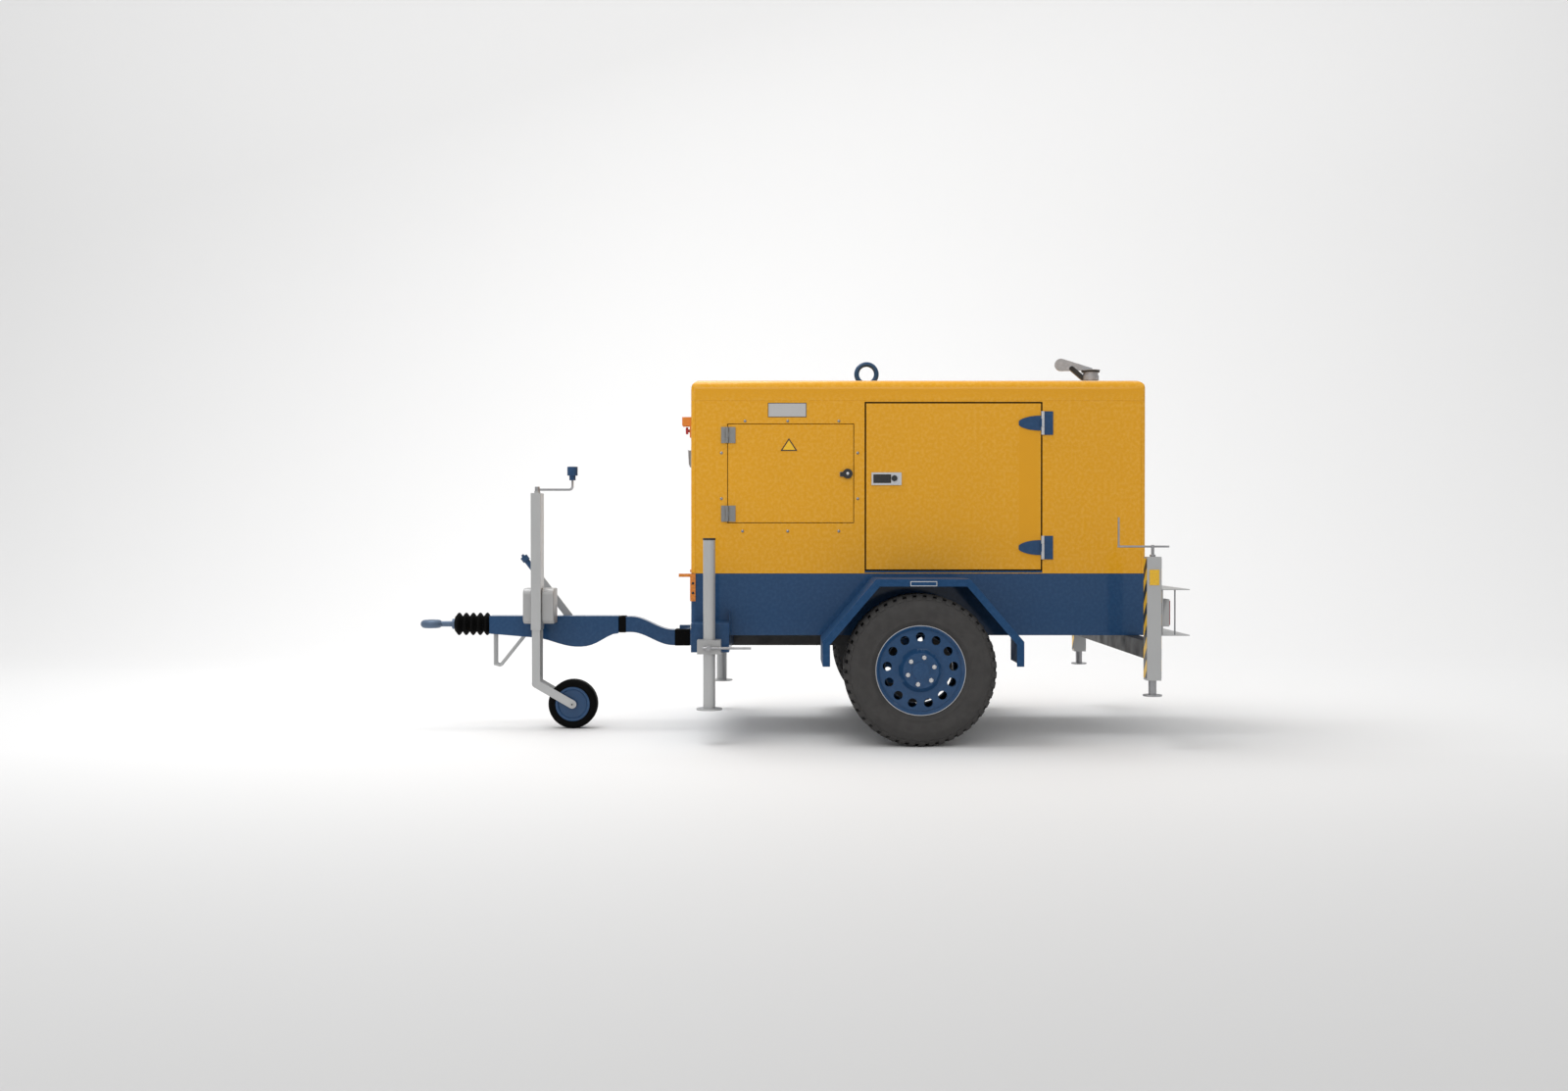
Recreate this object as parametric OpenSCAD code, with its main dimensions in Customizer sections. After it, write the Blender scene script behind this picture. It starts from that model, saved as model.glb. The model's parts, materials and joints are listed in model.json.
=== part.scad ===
/* [Body] */
// Length of the canopy and base
body_len = 2325; // [2100:5:2500]
// Width of the canopy and base
body_w = 1000; // [900:10:1100]
// Where the front face of the body stands along the trailer
body_x0 = -526; // [-560:2:-500]
// Lower edge of the base skirt
skirt_z = 517; // [500:1:540]
// Joint between the base and the canopy
belt_z = 833; // [820:1:850]
// Joint between the side panels and the roof
seam_z = 1715; // [1712:1:1730]
// Top of the roof
roof_z = 1822; // [1800:2:1900]
// Radius of the roof's rounded edges
roof_r = 50; // [20:2:60]
// Radius of the body's upright corners
corner_r = 24; // [15:1:40]
// Thickness of the body's sheet metal
sheet = 4; // [3:0.5:6]
/* [Service doors] */
// Front edge of the door opening
door_x0 = 362; // [350:2:400]
// Hinge edge of the door opening
door_x1 = 1270; // [1200:2:1290]
// Lower edge of the door opening
door_z0 = 846; // [846:1:860]
// Upper edge of the door opening
door_z1 = 1709; // [1690:1:1710]
// Gap round each door leaf
door_gap = 8; // [4:1:10]
// Depth of each door leaf
door_t = 30; // [20:1:36]
/* [Control panel door] */
// Hinge edge of the control panel opening
panel_x0 = -340; // [-350:2:-320]
// Lock edge of the control panel opening
panel_x1 = 308; // [280:2:320]
// Lower edge of the control panel opening
panel_z0 = 1090; // [1080:2:1110]
// Upper edge of the control panel opening
panel_z1 = 1598; // [1560:2:1610]
/* [Wheels] */
// Position of the wheel centres along the trailer
axle_x = 613.5; // [600:0.5:630]
// Outer radius of the tyres
tyre_r = 372; // [360:1:380]
// Width of the tyres
tyre_w = 225; // [205:5:235]
// Half the track between the tyre centres
half_track = 807.5; // [800:0.5:815]
// Radius of the rim lip
rim_r = 219; // [215:1:222]
// Round holes in each wheel disc
disc_holes = 13; // [9:1:15]
/* [Drawbar] */
// Half the width of the drawbar beam
beam_hw = 50; // [45:1:55]
// Top of the drawbar beam
beam_z = 592; // [580:1:600]
// Centre of the towing eye
eye_x = -1966.5; // [-1970:0.5:-1960]
// Height of the towing eye
eye_z = 546; // [540:1:550]
// Radius of the hole in the towing eye
eye_bore_r = 20; // [18:0.5:25]
/* [Jockey wheel] */
// Upright axis of the jockey unit along the trailer
jockey_x = -1367; // [-1370:1:-1360]
// Sideways place of the jockey unit
jockey_y = -150; // [-152:1:-148]
// Radius of the jockey wheel
jockey_r = 130; // [120:1:132]
// Jockey wheel axle along the trailer
jockey_wheel_x = -1175; // [-1180:1:-1170]
/* [Support legs] */
// Front legs along the trailer
front_leg_x = -419.5; // [-422:0.5:-416]
// Front legs sideways
front_leg_y = 760; // [750:1:770]
// Rear legs along the trailer
rear_leg_x = 1732.5; // [1730:0.5:1735]
// Rear legs sideways
rear_leg_y = 920; // [915:1:925]
// Outer size of the square rear leg tubes
rear_leg_w = 70; // [60:2:72]

/* [Hidden] */
$fn = 64;

body_x1 = body_x0 + body_len;
half_w = body_w / 2;
clear = 0.5;
yellow = "#e0a030";
blue = "#2a4266";
grey = "#a0a0a0";
dark = "#303030";

// ---- shared shapes ----
module block(lo, hi) { translate(lo) cube(hi - lo); }
module rod_x(r, x0, x1, y = 0, z = 0) { translate([x0, y, z]) rotate([0, 90, 0]) cylinder(r = r, h = x1 - x0); }
module rod_y(r, y0, y1, x = 0, z = 0) { translate([x, y0, z]) rotate([-90, 0, 0]) cylinder(r = r, h = y1 - y0); }
module rod_z(r, z0, z1, x = 0, y = 0) { translate([x, y, z0]) cylinder(r = r, h = z1 - z0); }
// an outline drawn in X and Z, given thickness along Y
module slab_y(y0, y1) { translate([0, y1, 0]) rotate([90, 0, 0]) linear_extrude(y1 - y0) children(); }
// an outline drawn in Y and Z, given thickness along X
module slab_x(x0, x1) { translate([x0, 0, 0]) rotate([90, 0, 90]) linear_extrude(x1 - x0) children(); }
module rect(lo, hi) { translate(lo) square(hi - lo); }
module far() { mirror([0, 1, 0]) children(); }
module both() { children(); far() children(); }
module side(s) { if (s < 0) children(); else far() children(); }

// a rectangle with four round corners
module round_rect(lo, hi, r) {
  rect(lo + [r, 0], hi - [r, 0]);
  rect(lo + [0, r], hi - [0, r]);
  for (x = [lo.x + r, hi.x - r], y = [lo.y + r, hi.y - r]) translate([x, y]) circle(r);
}
// a straight round rod between two points of the XZ plane, at a given Y
module strut(a, b, r, y) {
  d = b - a;
  translate([a.x, y, a.y]) rotate([0, atan2(d.x, d.y), 0]) cylinder(r = r, h = norm(d));
}
// a flat bar between two points of the XZ plane with round ends
module flat_bar(a, b, w, y0, y1) {
  turn = atan2(b.y - a.y, b.x - a.x);
  arc = function (c, start) [for (i = [0 : 16]) c + w / 2 * [cos(start + i * 11.25), sin(start + i * 11.25)]];
  slab_y(y0, y1) polygon(concat(arc(a, turn + 90), arc(b, turn - 90)));
}
function smooth(t) = 0.5 - 0.5 * cos(180 * min(1, max(0, t)));

// ---- base and floor ----
lip_w = 40;
module base_frame() color(blue) {
  translate([0, 0, skirt_z]) linear_extrude(belt_z - skirt_z) difference() {
    round_rect([body_x0, -half_w], [body_x1, half_w], corner_r);
    round_rect([body_x0 + sheet, sheet - half_w], [body_x1 - sheet, half_w - sheet], corner_r - sheet);
  }
  // inward lip along the lower edge
  translate([0, 0, skirt_z]) linear_extrude(sheet) difference() {
    round_rect([body_x0 + 1, 1 - half_w], [body_x1 - 1, half_w - 1], corner_r - 1);
    rect([body_x0 + lip_w, lip_w - half_w], [body_x1 - lip_w, half_w - lip_w]);
  }
}

floor_z = 770;
rail_y = 240;
rail_w = 60;
rail_h = 60;
rail_x0 = 0;
rail_x1 = 1345;
floor_in = 5;
module floor_pan() color(dark) {
  translate([0, 0, floor_z]) linear_extrude(sheet)
    round_rect([body_x0 + floor_in, floor_in - half_w], [body_x1 - floor_in, half_w - floor_in], corner_r - floor_in);
  both() difference() {
    block([rail_x0, rail_y - rail_w / 2, floor_z + sheet], [rail_x1, rail_y + rail_w / 2, floor_z + sheet + rail_h]);
    block([rail_x0 - 1, rail_y - rail_w / 2 + 5, floor_z + sheet + 5], [rail_x1 + 1, rail_y + rail_w, floor_z + sheet + rail_h - 5]);
  }
}
rail_top = floor_z + sheet + rail_h;

tank_x0 = -470;
tank_x1 = 150;
tank_y = 430;
tank_z0 = 560;
tank_z1 = 762;
module fuel_tank() color("#404448") {
  difference() {
    block([tank_x0, -tank_y, tank_z0], [tank_x1, tank_y, tank_z1]);
    block([tank_x0 + 3, 3 - tank_y, tank_z0 + 3], [tank_x1 - 3, tank_y - 3, tank_z1 - 3]);
  }
  rod_x(20, tank_x1, tank_x1 + 12, 300, tank_z0 + 40);
}

// ---- canopy ----
jamb_d = 34;
jamb_lip = 22;
module door_opening() { rect([door_x0, door_z0], [door_x1, door_z1]); }
module panel_opening() { rect([panel_x0, panel_z0], [panel_x1, panel_z1]); }
module jamb(lo, hi) {
  // folded jamb behind an opening, with a lip that carries the seal
  slab_y(-half_w + sheet, -half_w + jamb_d) difference() { rect(lo - [3, 3], hi + [3, 3]); rect(lo, hi); }
  slab_y(-half_w + jamb_d, -half_w + jamb_d + 3) difference() {
    rect(lo - [3, 3], hi + [3, 3]);
    rect(lo + [jamb_lip, jamb_lip], hi - [jamb_lip, jamb_lip]);
  }
}
module side_panel() {
  x0 = body_x0 + corner_r;
  x1 = body_x1 - corner_r;
  slab_y(-half_w, sheet - half_w) difference() {
    rect([x0, belt_z], [x1, seam_z]);
    door_opening();
    children();
  }
  jamb([door_x0, door_z0], [door_x1, door_z1]);
  // folded stiffener at the rear bay
  block([door_x1 + 90, sheet - half_w, belt_z + 5], [door_x1 + 94, 40 - half_w, seam_z - 5]);
}
module canopy_near() color(yellow) {
  side_panel() panel_opening();
  jamb([panel_x0, panel_z0], [panel_x1, panel_z1]);
}
// intake louvres in the far panel
louvre_n = 9;
louvre_x0 = -330;
louvre_x1 = 250;
louvre_z0 = 960;
louvre_pitch = 62;
louvre_h = 34;
module louvre_slots() {
  for (i = [0 : louvre_n - 1])
    rect([louvre_x0, louvre_z0 + i * louvre_pitch], [louvre_x1, louvre_z0 + i * louvre_pitch + louvre_h]);
}
module canopy_far() color(yellow) far() {
  side_panel() louvre_slots();
  // a sloping hood over each slot
  for (i = [0 : louvre_n - 1]) let (z = louvre_z0 + i * louvre_pitch + louvre_h)
    slab_x(louvre_x0 - 8, louvre_x1 + 8)
      polygon([[2 - half_w, z + 8], [-half_w - 16, z - 22], [-half_w - 13.5, z - 23.5], [2 - half_w, z + 4]]);
}
grille_y = 330;
grille_z0 = 1000;
grille_z1 = 1600;
grille_bars = 12;
module end_wrap(xa, xb) {
  translate([0, 0, belt_z]) linear_extrude(seam_z - belt_z) intersection() {
    difference() {
      round_rect([body_x0, -half_w], [body_x1, half_w], corner_r);
      round_rect([body_x0 + sheet, sheet - half_w], [body_x1 - sheet, half_w - sheet], corner_r - sheet);
    }
    rect([xa, -half_w], [xb, half_w]);
  }
}
module canopy_ends() color(yellow) {
  end_wrap(body_x0, body_x0 + corner_r);
  difference() {
    end_wrap(body_x1 - corner_r, body_x1);
    block([body_x1 - 10, -grille_y, grille_z0], [body_x1 + 1, grille_y, grille_z1]);
  }
  pitch = (grille_z1 - grille_z0) / grille_bars;
  for (i = [0 : grille_bars - 1])
    slab_y(-grille_y - 6, grille_y + 6) translate([body_x1 - 26, grille_z0 + (i + 0.9) * pitch])
      polygon([[0, 0], [18, -30], [20.5, -28.5], [2.5, 1.5]]);
  both() block([body_x1 - 30, grille_y + 2, grille_z0 - 10], [body_x1 - sheet + 1, grille_y + 10, grille_z1 + 10]);
}
module roof_block(inset) {
  lo = [body_x0 + inset, inset - half_w];
  hi = [body_x1 - inset, half_w - inset];
  top = roof_z - inset;
  r = roof_r - inset;
  low = seam_z - (inset > 0 ? 1 : 0);
  intersection() {
    translate([0, 0, low]) linear_extrude(top - low) round_rect(lo, hi, corner_r - min(inset, sheet));
    slab_y(lo.y - 1, hi.y + 1) { rect([lo.x, low - 1], [hi.x, top - r]); round_rect([lo.x, top - 3 * r], [hi.x, top], r); }
    slab_x(lo.x - 1, hi.x + 1) { rect([lo.y, low - 1], [hi.y, top - r]); round_rect([lo.y, top - 3 * r], [hi.y, top], r); }
  }
}
exhaust_x = 1615;
eye_mount_x = 398;
module roof() color(yellow) difference() {
  roof_block(0);
  roof_block(sheet);
  rod_z(46, roof_z - 20, roof_z + 5, exhaust_x);
}
// seal frames round the three openings
module seal(lo, hi) {
  slab_y(-half_w + jamb_d - 3.5, -half_w + jamb_d - 0.2) difference() { rect(lo + [1, 1], hi - [1, 1]); rect(lo + [18, 18], hi - [18, 18]); }
}
module door_seals() color("#151515") {
  both() seal([door_x0, door_z0], [door_x1, door_z1]);
  seal([panel_x0, panel_z0], [panel_x1, panel_z1]);
}
// ---- hinges ----
hinge_x = door_x1 + 0.7;
hinge_y = -half_w - 10;
pin_r = 8;
hinge_zs = [965.4, 1600.7];
hinge_h = 120;
knuckle = hinge_h / 3;
panel_hinge_x = panel_x0 - 0.6;
panel_hinge_zs = [1138.5, 1539.5];
panel_hinge_h = 82;
module hinge_plates() {
  // body leaf and its two outer knuckles, with the pin through them
  color(blue) both() for (z = hinge_zs) {
    block([hinge_x + pin_r + 0.3, -half_w - 5, z - hinge_h / 2], [1324, -half_w, z + hinge_h / 2]);
    for (s = [-1, 1]) {
      rod_z(pin_r, z + s * hinge_h / 3 - knuckle / 2 + 0.4, z + s * hinge_h / 3 + knuckle / 2 - 0.4, hinge_x, hinge_y);
      block([hinge_x + 4, -half_w - 12, z + s * hinge_h / 3 - knuckle / 2 + 0.4],
        [hinge_x + pin_r + 2, -half_w - 2, z + s * hinge_h / 3 + knuckle / 2 - 0.4]);
    }
    rod_z(4, z - hinge_h / 2 + 1, z + hinge_h / 2 - 1, hinge_x, hinge_y);
  }
  color(grey) for (z = panel_hinge_zs) {
    block([-371, -half_w - 6, z - panel_hinge_h / 2], [panel_hinge_x - 9.5, -half_w, z + panel_hinge_h / 2]);
    for (s = [-1, 1]) {
      rod_z(9, z + s * 27.3 - 13.3, z + s * 27.3 + 13.3, panel_hinge_x, hinge_y);
      block([panel_hinge_x - 11, -half_w - 14, z + s * 27.3 - 13.3], [panel_hinge_x - 4, -half_w - 2, z + s * 27.3 + 13.3]);
    }
    rod_z(4, z - 40, z + 40, panel_hinge_x, hinge_y);
  }
}
module leaf(x0, x1, z0, z1) {
  // a boxed door leaf, open at the back inside its returns
  y0 = -half_w;
  difference() {
    block([x0, y0, z0], [x1, y0 + door_t, z1]);
    block([x0 + 3, y0 + 3, z0 + 3], [x1 - 3, y0 + door_t - 3, z1 - 3]);
  }
}
// tapered leaf of a door hinge
module hinge_strap(z) {
  tip_x = 1149;
  root_x = hinge_x - pin_r - 0.4;
  // bullet outline, widest at the hinge
  edge = [for (i = [0 : 10]) [tip_x + (root_x - tip_x) * pow(i / 10, 1.5), 9 + 29 * sin(9 * i)]];
  slab_y(-half_w - 5, -half_w)
    polygon(concat([for (p = edge) [p.x, z + p.y]], [for (i = [10 : -1 : 0]) [edge[i].x, z - edge[i].y]]));
  difference() {
    union() {
      rod_z(pin_r, z - knuckle / 2 + 0.4, z + knuckle / 2 - 0.4, hinge_x, hinge_y);
      block([hinge_x - 12, -half_w - 16, z - knuckle / 2 + 0.4], [hinge_x - 2, -half_w - 3, z + knuckle / 2 - 0.4]);
    }
    rod_z(4.05, z - hinge_h, z + hinge_h, hinge_x, hinge_y);
  }
}
latch_x0 = 397;
latch_x1 = 550;
latch_z0 = 1284.5;
latch_z1 = 1348.6;
paddle_x0 = 409;
paddle_x1 = 494;
paddle_z0 = 1297.5;
paddle_z1 = 1336;
latch_y = -half_w - 8;
lock_x = 513.6;
lock_z = 1319;
module service_door(s) color(yellow) side(s) {
  difference() {
    leaf(door_x0 + door_gap, door_x1 - door_gap, door_z0 + door_gap, door_z1 - door_gap);
    block([paddle_x0 - 3, -half_w - 1, paddle_z0 - 3], [paddle_x1 + 3, -half_w + 20, paddle_z1 + 3]);
  }
  for (z = hinge_zs) hinge_strap(z);
  // latch plate with its recess and lock barrel
  difference() {
    block([latch_x0, latch_y, latch_z0], [latch_x1, -half_w, latch_z1]);
    block([paddle_x0 - 3, latch_y - 1, paddle_z0 - 3], [paddle_x1 + 3, -half_w + 1, paddle_z1 + 3]);
  }
  rod_y(15, latch_y - 6, latch_y, lock_x, lock_z);
}
module door_near() service_door(-1);
module door_far() service_door(1);
// the pull paddle turns on a pin at its left end
paddle_pin_x = paddle_x0 + 5;
module latch(s) color("#505355") side(s) {
  block([paddle_x0, latch_y + 1, paddle_z0], [paddle_x1, latch_y + 4, paddle_z1]);
  rod_z(4, paddle_z0, paddle_z1, paddle_pin_x, latch_y + 5);
  block([paddle_x1 - 14, latch_y + 3, paddle_z0], [paddle_x1 - 11, latch_y + 12, paddle_z1]);
}
module latch_near() latch(-1);
module latch_far() latch(1);

panel_lock_x = 275;
panel_lock_z = 1342.6;
cam_r = 9;
module panel_door() color(yellow) {
  difference() {
    leaf(panel_x0 + 3.6, panel_x1 - 3.6, panel_z0 + 3.6, panel_z1 - 3.6);
    rod_y(16.3, -half_w - 1, -half_w + door_t + 1, panel_lock_x, panel_lock_z);
  }
  for (z = panel_hinge_zs) {
    block([panel_hinge_x + 9.5, -half_w - 6, z - panel_hinge_h / 2], [-298, -half_w, z + panel_hinge_h / 2]);
    difference() {
      union() {
        rod_z(9, z - 13.3, z + 13.3, panel_hinge_x, hinge_y);
        block([panel_hinge_x + 4, -half_w - 14, z - 13.3], [panel_hinge_x + 11, -half_w - 2, z + 13.3]);
      }
      rod_z(4.05, z - 30, z + 30, panel_hinge_x, hinge_y);
    }
  }
  // blank triangular plate
  tri_h = 65;
  slab_y(-half_w - 1.5, -half_w) polygon([[-25 - 43, 1459], [-25 + 43, 1459], [-25, 1459 + tri_h]]);
}
module panel_lock() color("#202020") {
  rod_y(16, -half_w - 4, -half_w + door_t, panel_lock_x, panel_lock_z);
  rod_y(25, -half_w - 14, -half_w - 0.4, panel_lock_x, panel_lock_z);
  block([panel_lock_x - 40, -half_w - 12, panel_lock_z - 15], [panel_lock_x - 15, -half_w - 0.4, panel_lock_z + 9]);
  // round cam behind the panel
  rod_y(7, -half_w + door_t - 1, -half_w + door_t + 2, panel_lock_x, panel_lock_z);
  rod_y(cam_r, -half_w + door_t + 1, -half_w + door_t + 5, panel_lock_x, panel_lock_z);
}
// ---- roof fittings ----
eye_ring_r = 53.5;
eye_rod_r = 13.5;
eye_ring_z = 1902;
module lifting_eye() color(blue) {
  translate([eye_mount_x, 0, eye_ring_z]) rotate([90, 0, 0]) rotate_extrude() translate([eye_ring_r, 0]) circle(eye_rod_r);
  rod_z(26, roof_z, eye_ring_z - eye_ring_r - 4, eye_mount_x);
}
stub_r = 41;
stub_rim_z = 1920;
band_z = [1870, 1894];
cap_pivot = [1512, 1933];
ear_y = 8;
module exhaust() color("#8c8f92") {
  // silencer box with its tail pipe
  difference() {
    rod_y(110, -330, 330, exhaust_x, 1500);
    rod_y(106, -326, 326, exhaust_x, 1500);
  }
  difference() {
    union() {
      rod_z(stub_r, 1600, stub_rim_z - 6, exhaust_x);
      rod_z(49, stub_rim_z - 8, stub_rim_z, exhaust_x);
      rod_z(45, band_z[0], band_z[1], exhaust_x);
      // ears of the clamp that carry the cap's pin
      for (s = [-1, 1]) flat_bar([exhaust_x - 43, band_z[0] + 12], cap_pivot, 26, s * ear_y - 2, s * ear_y + 2);
    }
    rod_z(stub_r - 3, 1590, stub_rim_z + 10, exhaust_x);
  }
  rod_y(4, -ear_y - 5, ear_y + 5, cap_pivot.x, cap_pivot.y);
}
counter_at = [1454, 1953];
counter_r = 34;
arm_hw = 5;
module rain_cap() color("#9a9d9f") {
  // club-shaped arm, round at the counterweight and welded to the cap
  rim = [for (a = [72.6 : 16.58 : 272]) counter_at + counter_r * [cos(a), sin(a)]];
  rod_z(52, stub_rim_z + 0.5, stub_rim_z + 4.5, exhaust_x);
  difference() {
    slab_y(-arm_hw, arm_hw) polygon(concat(rim, [[1560, 1922], [1625, 1922], [1625, 1935]]));
    rod_y(4.05, -40, 40, cap_pivot.x, cap_pivot.y);
  }
}

// ---- drawbar ----
beam_x0 = -1644;
beam_x1 = -945.5;
belly_x0 = -1420;
belly_x1 = -1165;
belly_z0 = 476.5;
belly_z1 = 425;
nose_z = 495.6;
heel_z = 498;
belly_ease = 1.3;
function beam_low(x) = x < belly_x0 ? nose_z + (belly_z0 - nose_z) * (x - beam_x0) / (belly_x0 - beam_x0)
  : x < belly_x1 ? belly_z0 + (belly_z1 - belly_z0) * smooth((x - belly_x0) / (belly_x1 - belly_x0))
  : belly_z1 + (heel_z - belly_z1) * smooth(pow((x - belly_x1) / (beam_x1 - belly_x1), belly_ease));
beam_steps = 24;
module beam_outline(inset) {
  xa = beam_x0 + inset;
  xb = beam_x1 - inset;
  polygon(concat([[xb, beam_z - inset], [xa, beam_z - inset]],
    [for (i = [0 : beam_steps]) let (x = xa + (xb - xa) * i / beam_steps) [x, beam_low(x) + inset]]));
}
shaft_r = 22;
lever_pivot = [-1217, 580];
module drawbar_beam() color(blue) {
  difference() {
    slab_y(-beam_hw, beam_hw) beam_outline(0);
    slab_y(6 - beam_hw, beam_hw - 6) beam_outline(6);
    rod_x(shaft_r + clear, beam_x0 - 1, beam_x0 + 10, 0, eye_z);
  }
  // overrun tube that guides the shank, and the lever's boss
  difference() {
    rod_x(34, beam_x0 + 6.5, beam_x0 + 250, 0, eye_z);
    rod_x(shaft_r + clear, beam_x0, beam_x0 + 251, 0, eye_z);
  }
  rod_y(16, beam_hw, beam_hw + 5.5, lever_pivot.x, lever_pivot.y - 8);
  rod_y(8, beam_hw, beam_hw + 22, lever_pivot.x, lever_pivot.y - 8);
}
tube_half = 44;
s_x0 = -945.5;
s_x1 = -526;
s_za = 546;
s_zb = 475;
s_steps = 20;
function s_mid(x) = s_za + (s_zb - s_za) * smooth((x + 880) / 230);
module s_outline(h, pad) {
  xs = [for (i = [0 : s_steps]) s_x0 - pad + (s_x1 - s_x0 + 2 * pad) * i / s_steps];
  polygon(concat([for (x = xs) [x, s_mid(x) + h]], [for (i = [s_steps : -1 : 0]) [xs[i], s_mid(xs[i]) - h]]));
}
tube_h = 42;
module drawbar_tube() color(blue) {
  difference() {
    slab_y(-tube_half, tube_half) s_outline(tube_h, 0);
    slab_y(5 - tube_half, tube_half - 5) s_outline(tube_h - 5, 1);
  }
  // lug for the breakaway cable
  block([-617, -20, s_zb + tube_h - 2], [-559, 20, s_zb + tube_h + 24]);
}
skid_r = 7;
skid_a = [-1617, 497];
skid_b = [-1617, 330];
skid_c = [-1590, 322];
skid_d = [-1461, 482];
module coupling_skid() color(grey) {
  pts = [skid_a, skid_b, skid_c, skid_d];
  // the rods are cut to the beam's underside
  difference() {
    both() {
      for (i = [0 : 2]) strut(pts[i], pts[i + 1], skid_r, -30, $fn = 24);
      for (p = pts) translate([p.x, -30, p.y]) sphere(skid_r, $fn = 24);
    }
    slab_y(-beam_hw, beam_hw) offset(delta = 0.1) beam_outline(0);
  }
  rod_y(skid_r, -30, 30, skid_c.x, skid_c.y, $fn = 24);
}
eye_tube_r = 22;
module tow_eye_shank() color("#4a5c74") {
  translate([eye_x, 0, eye_z]) rotate_extrude() intersection() {
    union() {
      translate([eye_bore_r + 16.5, 0]) circle(eye_tube_r);
      rect([eye_bore_r, -eye_tube_r], [eye_bore_r + 16.5, eye_tube_r]);
    }
    rect([eye_bore_r, -eye_tube_r], [eye_bore_r + 50, eye_tube_r]);
  }
  rod_x(15, eye_x + 54, -1845, 0, eye_z);
  rod_x(28, -1852, -1836, 0, eye_z);
  rod_x(shaft_r, -1836, beam_x0 + 150, 0, eye_z);
}
bellows_x0 = -1835;
bellows_x1 = beam_x0 - 0.3;
bellows_n = 5;
crest_r = 62;
valley_r = 44;
module bellows() color("#1a1a1a") {
  pitch = (bellows_x1 - bellows_x0) / bellows_n;
  wave = [for (i = [0 : 8 * bellows_n]) [(crest_r + valley_r) / 2 - (crest_r - valley_r) / 2 * cos(45 * i), i * pitch / 8]];
  inner = [for (i = [8 * bellows_n : -1 : 0]) wave[i] - [4, 0]];
  translate([bellows_x0, 0, eye_z]) rotate([0, 90, 0]) rotate_extrude() polygon(concat(wave, inner));
  difference() {
    rod_x(crest_r - 10, bellows_x0 - 0.2, bellows_x0 + 3, 0, eye_z);
    rod_x(shaft_r + 1, bellows_x0 - 1, bellows_x0 + 4, 0, eye_z);
  }
}
lever_end = [-1484, 921];
module brake_lever() color(grey) {
  pin = lever_pivot - [0, 8];
  dir = (lever_end - pin) / norm(lever_end - pin);
  difference() {
    union() {
      flat_bar(pin, lever_end - 110 * dir, 40, beam_hw + 6.5, beam_hw + 14.5);
      // hand grip with its release button
      strut(lever_end - 118 * dir, lever_end - 12 * dir, 15, beam_hw + 10.5);
      strut(lever_end - 42 * dir, lever_end - 12 * dir, 21, beam_hw + 10.5);
      strut(lever_end - 13 * dir, lever_end, 8, beam_hw + 10.5);
    }
    rod_y(8.05, beam_hw, beam_hw + 30, pin.x, pin.y);
  }
}

// ---- jockey wheel ----
mast = [52, 116];
mast_wall = 4;
mast_z0 = 525;
mast_z1 = 1252;
clamp_z0 = 556;
clamp_z1 = 745;
module mast_box(grow, z0, z1) {
  block([jockey_x - mast.x / 2 - grow, jockey_y - mast.y / 2 - grow, z0],
    [jockey_x + mast.x / 2 + grow, jockey_y + mast.y / 2 + grow, z1]);
}
module jockey_mast() color(grey) {
  difference() {
    mast_box(0, mast_z0, mast_z1);
    mast_box(-mast_wall, mast_z0 - 1, mast_z1 - 5);
    rod_z(13.3, mast_z1 - 10, mast_z1 + 1, jockey_x, jockey_y);
  }
  difference() {
    rod_z(16, mast_z1 - 1, mast_z1 + 12, jockey_x, jockey_y);
    rod_z(13.3, mast_z1 - 1, mast_z1 + 20, jockey_x, jockey_y);
  }
}
leg_w = [43, 103];
arm_w = 45;
leg_bend = 240;
leg_end = 990;
module jockey_leg() color(grey) {
  // channel that slides in the mast, and the two plates that bend back as a fork
  ya = jockey_y - leg_w.y / 2;
  yb = jockey_y + leg_w.y / 2;
  difference() {
    block([jockey_x - leg_w.x / 2, ya, leg_bend], [jockey_x + leg_w.x / 2, yb, leg_end]);
    block([jockey_x - leg_w.x / 2 + 4, ya + 4, leg_bend - 1], [jockey_x + leg_w.x, yb - 4, leg_end - 10]);
    rod_z(10.5, leg_end - 20, leg_end + 1, jockey_x, jockey_y);
  }
  for (y = [ya, yb - 4]) flat_bar([jockey_x, leg_bend], [jockey_wheel_x, jockey_r], arm_w, y, y + 4);
  rod_y(9, ya - 8, yb + 8, jockey_wheel_x, jockey_r);
}
jockey_w = 85;
module jockey_turn() { translate([jockey_wheel_x, jockey_y, jockey_r]) rotate([90, 0, 0]) children(); }
module jockey_rim() color(blue) jockey_turn() rotate_extrude() difference() {
  polygon([[9.05, -44], [24, -44], [26, -30], [74, -30], [78, -38], [92, -38], [92, 38], [78, 38], [74, 30], [26, 30], [24, 44], [9.05, 44]]);
  rect([22, -26], [82, 26]);
}
module jockey_tyre() color("#1c1c1c") jockey_turn() rotate_extrude() {
  rect([92.2, -38], [112, 38]);
  rect([92.2, -jockey_w / 2 + 2], [104, jockey_w / 2 - 2]);
  rect([104, -jockey_w / 2 + 18], [jockey_r, jockey_w / 2 - 18]);
  for (s = [-1, 1]) translate([jockey_r - 18, s * (jockey_w / 2 - 18)]) circle(18);
}
crank_z = 1268 + 19;
crank_end_x = -1179;
crank_bend = 15;
arm_z = crank_z - 16;
crank_line = [[jockey_x, arm_z], [crank_end_x - crank_bend, arm_z], [crank_end_x - crank_bend * 0.3, arm_z + crank_bend * 0.3],
  [crank_end_x, arm_z + crank_bend]];
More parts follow.
